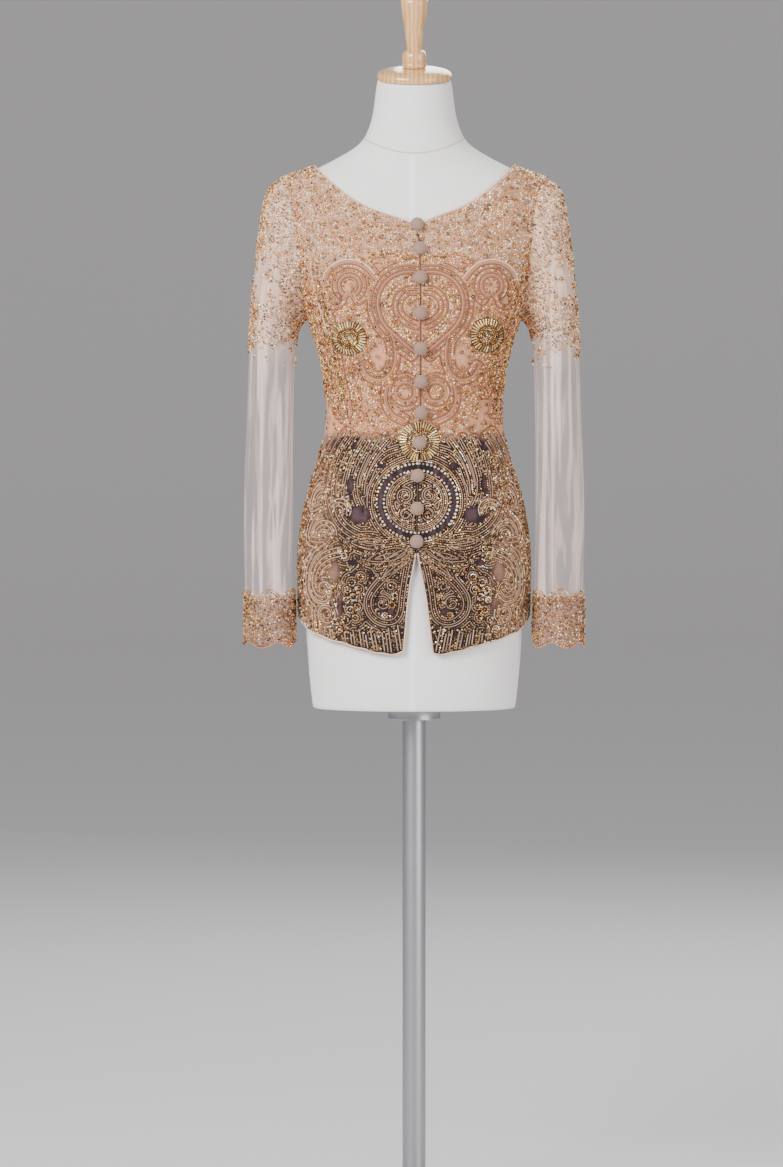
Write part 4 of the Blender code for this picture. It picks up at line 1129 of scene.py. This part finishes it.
# Echo rows: lines of cord and beads that follow the motifs' outlines at equal steps, and stop at the small
# bare windows and wherever other work lies. They are drawn once from in front and once from the side.
def level_lines(field, level):
    """The lines along which a grid of values passes a level, in steps of the grid."""
    above = field > level
    corners = np.stack([above[:-1, :-1], above[:-1, 1:], above[1:, 1:], above[1:, :-1]])
    links = {}
    for i, j in zip(*(found.tolist() for found in np.nonzero(corners.any(0) & ~corners.all(0)))):
        square = ((i, j), (i, j + 1), (i + 1, j + 1), (i + 1, j), (i, j))
        sides = [tuple(sorted(pair)) for pair in zip(square, square[1:]) if above[pair[0]] != above[pair[1]]]
        for first, second in zip(sides[::2], sides[1::2]):
            links.setdefault(first, []).append(second)
            links.setdefault(second, []).append(first)
    lines = []
    while links:
        here = next((edge for edge, others in links.items() if len(others) == 1), next(iter(links)))
        line = []
        while here is not None:
            (a, b), others = here, links[here]
            share = (level - field[a]) / (field[b] - field[a])
            line.append([a[0] + share * (b[0] - a[0]), a[1] + share * (b[1] - a[1])])
            following = others.pop() if others else None
            if not others:
                del links[here]
            if following is not None:
                links[following].remove(here)
            here = following
        lines.append(np.array(line))
    return lines


# Bare diamonds of net on the skirt, then on the bodice: middle, half width and half height in millimetres
BARE_DIAMONDS = (
    (79, 958, 21, 14), (91.5, 999, 7.5, 16), (47, 1023, 10, 6), (88, 1049, 3.4, 10), (111, 880, 10, 16),
    (86, 893, 8.5, 5.5), (104, 834, 6, 17), (41, 826, 14, 6.5), (64, 1046, 2.2, 7), (22, 802, 7, 2.6),
    (118, 868, 4, 6),
    (57, 1172, 12, 19), (96, 1268, 7.5, 7.5), (21, 1124, 5.5, 5.5), (128, 1082, 13, 30), (72, 1308, 9, 4.5),
    (115, 1250, 6, 6),
)
DIAMOND_ROUNDNESS = 1.3  # 1 is a diamond with straight sides, 2 an ellipse
OPEN_RING = (42.0, 57.5)


def bare(place):
    """Whether a place lies in a bare diamond, or in the open ring of the medallion."""
    across, height = 1000.0 * abs(place[0] - button_line(place[2])), 1000.0 * place[2]
    from_medallion = math.hypot(across - MEDALLION[0], (height - MEDALLION[1]) / MEDALLION_SQUASH)
    return OPEN_RING[0] < from_medallion < OPEN_RING[1] or any(
        abs((across - x) / wide) ** DIAMOND_ROUNDNESS + abs((height - z) / tall) ** DIAMOND_ROUNDNESS < 1.0
        for x, z, wide, tall in BARE_DIAMONDS
    )


WAIST_HEIGHT = 1.064
# How far each row is from the outlines, and what it sews on the skirt and on the bodice
ECHO_ROWS = ((3.2, "c", "g"), (6.4, "s", "r"), (9.6, "c", ""), (12.8, "f", ""), (16.0, "c", ""))
FURTHEST_BACK = 12.0  # rows further out are sewn in front only
ROW_CLEAR = 0.0027
LOW, HIGH, STEP = 765.0, 1300.0, 1.25
sewn = sewn_so_far()
for drawn_at, laid_at, left, right in ((0.0, (0.0, 180.0), 0.0, 128.0), (60.0, (60.0, 124.0), -45.0, 45.0)):
    outline = np.concatenate(outlines[drawn_at])
    drawn = tree_of(np.column_stack([outline, np.zeros(len(outline))]))
    field = np.array([
        [drawn.find((across, height, 0.0))[2] for across in np.arange(left, right, STEP)]
        for height in np.arange(LOW, HIGH, STEP)
    ])
    for distance, on_skirt, on_bodice in ECHO_ROWS:
        turns = laid_at if distance < FURTHEST_BACK else laid_at[:1]
        if drawn_at == 60.0:
            on_skirt = on_skirt.replace("c", "n")
        for line in level_lines(field, distance):
            line = np.column_stack([left + line[:, 1] * STEP, LOW + line[:, 0] * STEP])
            low = line[:, 1] < 1000.0 * WAIST_HEIGHT
            drawn_runs = [(on_skirt, run) for run in runs_of(low)]
            drawn_runs += [(on_bodice, run) for run in runs_of(~low) if on_bodice]
            for letter, run in drawn_runs:
                for side, turn in itertools.product((1, -1), turns):
                    for places, normals in lay(line[run], side, turn):
                        clear = [sewn.find(place)[2] > ROW_CLEAR and not bare(place) for place in places]
                        for some in runs_of(np.array(clear)):
                            row(letter, places[some], normals[some])
    sewn = sewn_so_far()


# Ground beading: cut beads and seed beads fill the net between the motifs. On the skirt they lie in rows
# that echo the sewn outlines, and on the bodice they are scattered thickly, with a few rings.
def spots(node, spacing):
    """Places scattered evenly over a cloth skin, one for each square of a spacing, and their normals."""
    points, faces = skins[node]
    quads = as_quads(faces)
    corners = np.concatenate([points[quads[:, [0, 1, 2]]], points[quads[:, [0, 2, 3]]]])
    first, second = corners[:, 1] - corners[:, 0], corners[:, 2] - corners[:, 0]
    across = np.cross(first, second)
    areas = np.linalg.norm(across, axis=1) / 2.0
    chance = np.random.default_rng(11)
    count = int(areas.sum() / spacing**2)
    picked = chance.choice(len(areas), count, p=areas / areas.sum())
    a, b = chance.random(count), chance.random(count)
    over = a + b > 1.0
    a[over], b[over] = 1.0 - a[over], 1.0 - b[over]
    places = corners[picked, 0] + a[:, None] * first[picked] + b[:, None] * second[picked]
    return places, across[picked] / (2.0 * areas[picked, None])


class Ground:
    """Beads that keep clear of each other."""

    def __init__(self, apart):
        self.apart = apart
        self.cells = {}

    def takes(self, place):
        """Whether a bead fits here; if so, the place is taken."""
        x, y, z = (math.floor(value / self.apart) for value in place)
        for right, back, up in itertools.product((-1, 0, 1), repeat=3):
            for other in self.cells.get((x + right, y + back, z + up), ()):
                if sum((a - b) ** 2 for a, b in zip(place, other)) < self.apart**2:
                    return False
        self.cells.setdefault((x, y, z), []).append(place)
        return True


FIRST_ROW, ROW_STEP = 0.0026, 0.0029
GROUND_CLEAR = 0.0022  # how far the ground beads keep from the motifs and rows
TRIAL_SPACING = 0.0013  # of the places that are tried for a bead
IN_ROWS_APART, SCATTERED_APART = 0.0033, 0.0029
SKIRT_BEAD, BODICE_BEAD = (3.7, 2.5, 2.1), (3.3, 2.9, 2.3)
FRONT_EDGE_BARE = 0.003
SIDE_ANGLES = (52.0, 128.0)  # degrees round from the front
RINGS_APART = {"front_right": 0.0115, "front_left": 0.0115, "back": 0.018}
RINGS_CLEAR, RING_LIFT = 0.002, 0.0008
RING_BEAD, RING_TINTS = (5.0, 5.0, 3.4), ("amber", "gold", "gold")
DOTS_APART, DOT_LIFT = 0.019, 0.001
DOT_BEAD = (2.4, 2.4, 2.0)
TRIALS_FOR_RINGS = 40  # one in so many places is tried for a ring or a dark dot
# Heights at which the ground beading changes, from the hem up
FRONT_PATCHY_HEIGHT = 0.935
SIDE_THIN_HEIGHT, SIDE_HALF_HEIGHT = 1.010, 1.040
WAIST_BEADS_HEIGHT = 1.036
RINGS_HEIGHT = 1.072
SIDE_WORK_HEIGHT = 1.112
YOKE_HEIGHT = 1.296
SKIRT_TINTS = ("brass", "champagne", "brass", "champagne", "bronze", "ivory", "bronze", "gold")
WAIST_TINTS = ("gold", "champagne", "brass", "silver", "amber", "dark", "gold")
YOKE_TINTS = ("ivory", "peach", "ivory", "champagne", "ivory", "peach")
BODICE_TINTS = ("peach", "ivory", "gold", "peach", "ivory", "champagne")
GOLDEN_TINTS = ("gold", "amber", "gold", "champagne", "gold", "brass", "ivory")
SIDE_TINTS = ("gold", "peach", "champagne", "amber", "ivory", "champagne")


def in_row(place, normal):
    """A place moved on to the nearest row that echoes the sewn outlines, and the way that row runs."""
    foot, _, away = sewn.find(place)
    out = place - foot
    out -= normal * out.dot(normal)
    out.normalize()
    number = max(0, round((away - FIRST_ROW) / ROW_STEP))
    return place + out * (FIRST_ROW + number * ROW_STEP - away), normal.cross(out)


def skirt_bead(place, normal, at_side):
    """A skirt bead: its place, hole direction, size and colours, or None where the net stays bare."""
    if at_side:
        above_half = (place.z - SIDE_HALF_HEIGHT) / 0.04
        left_out = place.z > SIDE_THIN_HEIGHT and patch(place, 0.02, 4.0) < above_half
    else:
        left_out = place.z < FRONT_PATCHY_HEIGHT and patch(place, 0.007, 6.0) > 0.12
    if left_out:
        return None
    palette = WAIST_TINTS if place.z > WAIST_BEADS_HEIGHT else SKIRT_TINTS
    return *in_row(place, normal), SKIRT_BEAD, palette


def bodice_bead(place, at_side):
    """A bodice bead: its place, hole direction, size and colours, or None where the net stays bare."""
    fullness, palette = 0.34, BODICE_TINTS
    if place.z > YOKE_HEIGHT:
        fullness, palette = 0.62, YOKE_TINTS
    elif at_side:
        fullness, palette = 0.75 if place.z > SIDE_WORK_HEIGHT else -0.35, SIDE_TINTS
    if patch(place, 0.009, 7.0) > 0.1:
        fullness, palette = fullness + 0.25, GOLDEN_TINTS
    if fullness + 1.1 * patch(place, 0.015) + 0.5 * patch(place, 0.005, 3.0) < 0.0:
        return None
    return place, Vector((dice.uniform(-1.0, 1.0), 0.0, dice.uniform(-1.0, 1.0))), BODICE_BEAD, palette


for panel in BODY_PANELS:
    places, normals = spots(panel, TRIAL_SPACING)
    kinds = ("cut",) if panel == "back" else ("seed", "cut", "cut")
    rows, scatter, grounds = Ground(IN_ROWS_APART), Ground(SCATTERED_APART), {}
    for place, normal in zip(map(Vector, places.tolist()), map(Vector, normals.tolist())):
        at_side = SIDE_ANGLES[0] < abs(math.degrees(math.atan2(place.x, -place.y))) < SIDE_ANGLES[1]
        at_front_edge = panel != "back" and abs(place.x - button_line(place.z)) < FRONT_EDGE_BARE
        if at_front_edge or bare(place):
            continue
        if place.z < WAIST_HEIGHT:
            ground, bead = rows, skirt_bead(place, normal, at_side)
        else:
            ground, bead = scatter, bodice_bead(place, at_side)
        if bead is None:
            continue
        place, ahead, size, palette = bead
        kind = dice.choice(kinds)
        if sewn.find(place)[2] > GROUND_CLEAR and ground.takes(tuple(place)):
            grounds.setdefault((kind, size, palette), []).append((place, normal, ahead))
    for (kind, size, palette), found in grounds.items():
        found = np.array(found)
        sew(kind, found[:, 0], found[:, 1], size, palette, found[:, 2], panel)
    rings, dots = Ground(RINGS_APART[panel]), Ground(DOTS_APART)
    for place, normal in zip(places[::TRIALS_FOR_RINGS], normals[::TRIALS_FOR_RINGS]):
        free = place[2] > RINGS_HEIGHT and sewn.find(place)[2] > RINGS_CLEAR
        if free and patch(place, 0.03, 5.0) > -0.25 and rings.takes(tuple(place)):
            sew("ring", [place + RING_LIFT * normal], [normal], RING_BEAD, RING_TINTS, None, panel)
        elif patch(place, 0.03, 9.0) > 0.1 and dots.takes(tuple(place)):
            sew("seed", [place + DOT_LIFT * normal], [normal], DOT_BEAD, ("dark",), None, panel)

# Shade between close beads is painted on the net: each panel's points carry how closely they are worked, as a painted
# shade
SHADE_REACH, SHADE_FADE = 0.0048, 0.002
sewn = sewn_so_far()
for node in BODY_PANELS:
    mesh = cloths[node]["obj"].data
    # Painted shade between close beads, stored on each panel's points
    layer = mesh.attributes.new("painted_bead_shade", "FLOAT", "POINT")
    away = np.array([sewn.find(vertex.co)[2] for vertex in mesh.vertices])
    painted_bead_shade = np.clip((SHADE_REACH - away) / SHADE_FADE, 0.0, 1.0)
    layer.data.foreach_set("value", painted_bead_shade.astype(np.float32))


# Sleeve beading: a close cuff of peach and gold beads with lobes along its top, and loose clusters of the
# same beads over the cap and the upper arm.
CUFF_AXIS = (0.1975, -0.020)
CUFF_ROUND = 33.5  # millimetres, the radius that turns a flat distance into an angle
CUFF_TOP = 843.0
CUFF_LOBES = 6
LOBE_HEIGHT = 838.0
LOBE_RADII = (15.5, 12.0, 7.0)
ARM_INSIDE, ARM_WIDTH = 0.155, 0.065  # where the upper arm starts, and how far it reaches outwards
CAP_LOW, ARM_LOW = 1298.0, 1160.0
INNER_WORK_LOW, OUTER_WORK_HIGH = 1195.0, 1250.0
CUFF_BEADS_APART, ARM_BEADS_APART, DARK_BEADS_APART = 0.0028, 0.0027, 0.013
LOBES_CLEAR = 0.0019
ARM_OUTSIDE = 0.09  # how far from the middle of the cuff a ray starts
SLEEVE_TRIAL_SPACING = 0.0012
SLEEVE_BEAD = (3.2, 3.2 * 0.9, 3.2 * 0.75)
DARK_BEAD = (4.0, 2.4, 2.2)
SLEEVE_TINTS = {
    "cuff": ("peach", "gold", "brass", "champagne", "amber", "gold"),
    "arm": ("gold", "ivory", "peach", "ivory", "champagne", "ivory"),
    "deep": ("gold", "amber", "peach", "ivory", "gold", "peach"),
    "golden": GOLDEN_TINTS,
}


def arm_fullness(height, outer):
    """How full of beads the upper arm is at a height and a share of its width, or None where it is bare."""
    if height > CAP_LOW:
        return 0.62 + 0.0022 * (height - 1330.0)
    if height > INNER_WORK_LOW and outer < 0.45:
        return 0.70 - 0.5 * outer
    if ARM_LOW < height < OUTER_WORK_HIGH and outer > 0.5:
        return 0.38 - 0.05 * max(0.0, 1188.0 - height)
    return -0.22 if height > ARM_LOW else None


for side, sleeve in ((1, "sleeve_left"), (-1, "sleeve_right")):
    arm = surface_of(sleeve)
    for edge in open_edges(sleeve)[:2]:
        couch(*nearest(arm, paced(edge, EDGE_STEP)), 2.0, "blush", sleeve)
    around = 2.0 * math.pi * CUFF_ROUND / CUFF_LOBES
    for lobe in range(CUFF_LOBES):
        swell = dice.uniform(0.8, 1.15)
        for radius in LOBE_RADII:
            laid = []
            for run, height in arc((lobe + 0.5) * around, LOBE_HEIGHT, radius, radius * swell, 176.0, 4.0):
                turn = run / CUFF_ROUND
                outward = Vector((side * math.cos(turn), math.sin(turn), 0.0))
                middle = Vector((side * CUFF_AXIS[0], CUFF_AXIS[1], height / 1000.0))
                hit, normal, _, _ = arm.ray_cast(middle + outward * ARM_OUTSIDE, -outward, ARM_OUTSIDE)
                if hit is not None:
                    laid.append((hit, normal))
            if len(laid) > 3:
                row("g", *map(np.array, zip(*laid)), sleeve)
    taken = sewn_so_far(sleeve)
    close, loose = Ground(CUFF_BEADS_APART), Ground(ARM_BEADS_APART)
    grounds = {name: [] for name in SLEEVE_TINTS}
    places, normals = spots(sleeve, SLEEVE_TRIAL_SPACING)
    for place, normal in zip(places.tolist(), normals.tolist()):
        if taken.find(place)[2] < LOBES_CLEAR:
            continue
        height = 1000.0 * place[2] + 14.0 * patch(place, 0.012, 8.0)
        if height < CUFF_TOP + 9.0 * patch(place, 0.02, 6.0):
            if close.takes(place):
                grounds["cuff"].append((place, normal))
            continue
        outer = (abs(place[0]) - ARM_INSIDE) / ARM_WIDTH
        fullness = arm_fullness(height, outer)
        if fullness is None:
            continue
        name = "deep" if outer < 0.35 and height < 1300.0 else "arm"
        if patch(place, 0.009, 7.0) > 0.1:
            name = "golden"
        if patch(place, 0.012, 2.0) + fullness > 0.0 and loose.takes(place):
            grounds[name].append((place, normal))
    for name, palette in SLEEVE_TINTS.items():
        found = np.array(grounds[name])
        for first, kind in enumerate(("seed" if name == "cuff" else "cut", "cut", "cut")):
            some = found[first::3]
            sew(kind, some[:, 0], some[:, 1], SLEEVE_BEAD, palette, None, sleeve)
    dots = Ground(DARK_BEADS_APART)
    marked = grounds["cuff"][::5] + grounds["arm"][::9]
    found = np.array([(place, normal) for place, normal in marked if dots.takes(place)])
    over = found[:, 0] + found[:, 1] * DOT_LIFT
    sew("seed", over, found[:, 1], DARK_BEAD, ("dark", "amber"), None, sleeve)


# Rosettes: round pads of gold thread, each ringed with bugle beads that lie like the petals of a daisy.
# Seed beads edge the petals and fill the heart; the waist rosette is cut in two by the front opening.
pad_cloth = woven_cloth(
    "gold_thread_pad", 1.0, (0.045, 0.02, 0.007), (0.11, 0.052, 0.017), (0.5, 0.0005), {"Roughness": 0.6}
)
BUST_RINGS = (
    ("seed", 23.6, 74, (2.1, 2.0, 1.9), ("gold", "amber", "gold")),
    ("bugle", 18.3, 33, (7.8, 1.9, 2.6), ("straw",)),
    ("seed", 13.2, 38, (2.1, 2.0, 2.0), ("gold", "amber")),
    ("cut", 10.6, 28, (2.4, 2.4, 2.2), ("gold", "champagne")),
    ("seed", 8.1, 22, (2.3, 2.2, 2.2), ("champagne", "gold", "peach")),
    ("cut", 5.6, 15, (2.4, 2.4, 2.2), ("gold", "silver")),
    ("seed", 3.1, 8, (2.4, 2.3, 2.2), ("champagne", "gold")),
    ("crystal", 0.1, 1, (3.4, 3.4, 3.0), ("silver",)),
)
WAIST_RINGS = (
    ("seed", 27.6, 86, (2.1, 2.0, 1.9), ("gold", "amber", "gold")),
    ("bugle", 22.2, 41, (8.6, 1.9, 2.6), ("straw",)),
    ("cut", 16.6, 38, (2.6, 2.4, 2.2), ("gold", "amber", "champagne")),
    ("seed", 13.9, 34, (2.5, 2.3, 2.2), ("champagne", "gold", "silver")),
    ("cut", 11.3, 28, (2.5, 2.3, 2.2), ("gold", "amber", "champagne")),
    ("seed", 9.2, 24, (2.3, 2.2, 2.0), ("champagne", "silver")),
)
OPENING_HALF_GAP = 0.9  # millimetres, left clear of beads on each half of the waist rosette
for node, panel, middle, rings, half in (
    ("rosette_bust_right", "front_right", (-0.088, 1.197), BUST_RINGS, 0),
    ("rosette_bust_left", "front_left", (0.098, 1.201), BUST_RINGS, 0),
    ("rosette_waist_right", "front_right", (0.0069, 1.057), WAIST_RINGS, -1),
    ("rosette_waist_left", "front_left", (0.0071, 1.057), WAIST_RINGS, 1),
):
    pad = copy_of(node, f"pad_{node}")
    bpy.ops.object.mode_set(mode="OBJECT")
    smooth_out(pad, 1)
    cloths[panel]["with_pieces"].append(dress(pad, pad_cloth, "beads", node))
    top = BVHTree.FromObject(pad, bpy.context.evaluated_depsgraph_get())
    for kind, radius, count, size, palette in rings:
        places, normals, petals = [], [], []
        for number in range(count):
            turn = 2.0 * math.pi * (number + 0.5) / count
            spoke = Vector((math.sin(turn), 0.0, math.cos(turn)))
            if half and spoke.x * half * radius < OPENING_HALF_GAP:
                continue
            start = Vector((middle[0], -0.3, middle[1])) + spoke * radius * 0.001
            hit, normal, _, _ = top.ray_cast(start, Vector((0.0, 1.0, 0.0)), 0.4)
            if hit is not None and normal.y < -0.2:
                places.append(hit)
                normals.append(normal)
                petals.append(spoke if kind == "bugle" else spoke.cross(normal))
        sew(kind, places, normals, size, palette, np.array(petals) if petals else None, node)


# Buttons: eleven half balls covered in dusty rose cloth, drawn tight over a mould and sewn by a shank.
# One is shaped and copied to each place down the front.
BUTTON_SURFACE = {"Roughness": 0.7, "Sheen Weight": 0.4}
covering = woven_cloth(
    "dusty_rose_cloth", 1.5, (0.20, 0.11, 0.08), (0.34, 0.205, 0.155), (0.5, 0.0004), BUTTON_SURFACE
)
BUTTON_RADIUS = 0.0093
BUTTON_FLATNESS = 0.66
GROOVE_LOW, GROOVE_HIGH, GROOVE_SHARE = 0.0028, 0.0046, 0.965  # a slight groove round each button
bpy.ops.object.select_all(action="DESELECT")
bpy.ops.mesh.primitive_uv_sphere_add(segments=32, ring_count=18, radius=BUTTON_RADIUS)
mould = bpy.context.object
edit_mesh("SELECT")
bpy.ops.transform.resize(value=(1.0, 1.0, BUTTON_FLATNESS))
bpy.ops.transform.translate(value=(0.0, 0.0, BUTTON_FLATNESS * BUTTON_RADIUS))
bpy.ops.mesh.select_all(action="DESELECT")
bpy.ops.object.mode_set(mode="OBJECT")
for face in mould.data.polygons:
    face.select = GROOVE_LOW < face.center.z < GROOVE_HIGH
bpy.ops.object.mode_set(mode="EDIT")
bpy.ops.transform.resize(value=(GROOVE_SHARE, GROOVE_SHARE, 1.0))
bpy.ops.object.mode_set(mode="OBJECT")
bpy.ops.object.shade_smooth()
for number in range(1, 12):
    node = f"button_{number:02d}"
    corners = np.array([vertex.co for vertex in frame["nodes"][node].data.vertices])
    middle = corners.mean(axis=0)
    outward = Vector(np.linalg.svd(corners - middle)[2][2])
    if outward.y > 0.0:
        outward.negate()
    seat = Vector(middle) + outward * float(((corners - middle) @ np.array(outward)).min())
    button = piece_of(f"covered_{node}", mould.data.copy())
    button.data.transform(Matrix.Translation(seat) @ outward.to_track_quat("Z", "Y").to_matrix().to_4x4())
    cloths["front_left"]["with_pieces"].append(dress(button, covering, "covered_button", node))
bpy.data.objects.remove(mould)


# The sewn work is made into meshes, one of cords and one of beads for each panel of cloth.
def mesh_of(name, points, faces, tints, flat=None):
    """A mesh object from arrays, with the colours of its points in the attribute "tint"."""
    mesh = bpy.data.meshes.new(name)
    mesh.vertices.add(len(points))
    mesh.vertices.foreach_set("co", points.astype(np.float32).ravel())
    corners = faces.shape[1]
    mesh.loops.add(faces.size)
    mesh.loops.foreach_set("vertex_index", faces.astype(np.int32).ravel())
    mesh.polygons.add(len(faces))
    mesh.polygons.foreach_set("loop_start", np.arange(0, faces.size, corners, dtype=np.int32))
    mesh.update(calc_edges=True)
    mesh.polygons.foreach_set("use_smooth", np.ones(len(faces), bool) if flat is None else ~flat)
    layer = mesh.color_attributes.new("tint", "FLOAT_COLOR", "POINT")
    layer.data.foreach_set("color", tints.astype(np.float32).ravel())
    return piece_of(name, mesh)


CORD_SECTION = np.array([(-0.5, 0.06), (0.0, 0.5), (0.5, 0.06), (0.0, -0.12)])
CORD_SHADES = (0.86, 1.08)  # how much cords of one colour may vary


def cord_mesh(name, strokes):
    """One mesh of flattened round cords."""
    points, faces, tints, start = [], [], [], 0
    for _, places, normals, width, tint in strokes:
        across = np.cross(unit(np.gradient(places, axis=0)), normals)
        ring = places[:, None] + width * (
            CORD_SECTION[None, :, :1] * across[:, None] + CORD_SECTION[None, :, 1:] * normals[:, None]
        )
        count = len(places)
        first = start + 4 * np.arange(count - 1)[:, None]
        k = np.arange(4)[None]
        sides = np.stack([first + k, first + (k + 1) % 4, first + 4 + (k + 1) % 4, first + 4 + k], axis=2)
        last = start + 4 * (count - 1)
        faces.append(sides.reshape(-1, 4)[:, ::-1])
        faces.append(np.array([start + np.arange(4), last + 3 - np.arange(4)]))
        points.append(ring.reshape(-1, 3))
        colours = np.tile(TINTS[tint], (count, 1))
        # Painted light and shade by where the cord lies, and a random tone
        colours[:, :3] *= painted_light(places) ** 0.5 * dice.uniform(*CORD_SHADES)
        tints.append(np.repeat(colours, 4, axis=0))
        start += 4 * count
    return mesh_of(name, np.concatenate(points), np.concatenate(faces), np.concatenate(tints))


ALL_HEIGHTS = (0.0, 2.0)


def bead_mesh(name, groups, low, high):
    """One mesh of the beads in some groups, from one height to another."""
    points, faces, tints, flats, start = [], [], [], [], 0
    for _, kind, *columns in groups:
        chosen = (columns[0][:, 2] >= low) & (columns[0][:, 2] < high)
        places, normals, ahead, sizes, colours = (column[chosen] for column in columns)
        shape, corners = SHAPES[kind]
        frames = np.stack([ahead, np.cross(normals, ahead), normals], axis=2)
        made = np.einsum("nij,nvj->nvi", frames, shape[None] * sizes[:, None]) + places[:, None]
        points.append(made.reshape(-1, 3))
        steps = start + len(shape) * np.arange(len(places))
        faces.append((corners[None] + steps[:, None, None]).reshape(-1, 3))
        flats.append(np.full(len(places) * len(corners), kind not in ROUND_SHAPES))
        tints.append(np.repeat(colours, len(shape), axis=0))
        start += len(shape) * len(places)
    flat = np.concatenate(flats)
    return mesh_of(name, np.concatenate(points), np.concatenate(faces), np.concatenate(tints), flat)


for panel, facts in cloths.items():
    strokes = [stroke for stroke in cords if stroke[0] == panel]
    slot = "sleeve_net" if "sleeve" in panel else "embroidered_net"
    facts["with_pieces"].append(dress(cord_mesh(f"cords_{panel}", strokes), cord_finish, slot))
    groups = [group for group in beads if group[0] == panel]
    parts = {"": ALL_HEIGHTS}
    if panel == "back":
        parts = {"_bodice": (WAIST_HEIGHT, ALL_HEIGHTS[1]), "_skirt": (ALL_HEIGHTS[0], WAIST_HEIGHT)}
    for part, heights in parts.items():
        beading = bead_mesh(f"beads_{panel}{part}", groups, *heights)
        facts["with_pieces"].append(dress(beading, bead_finish, "beads"))
for side in ("right", "left"):
    for height in ("bust", "waist"):
        node = f"rosette_{height}_{side}"
        petals = bead_mesh(f"petals_{node}", [group for group in beads if group[0] == node], *ALL_HEIGHTS)
        cloths[f"front_{side}"]["with_pieces"].append(dress(petals, bead_finish, "beads"))
for facts in cloths.values():
    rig.sheet(**facts, rests_on="form_torso")

with open("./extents.json", "w") as sizes:
    boxes = {"cad": [list(corner) for corner in cad_box], "visual": [list(corner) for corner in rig.bounds()]}
    json.dump(boxes, sizes)
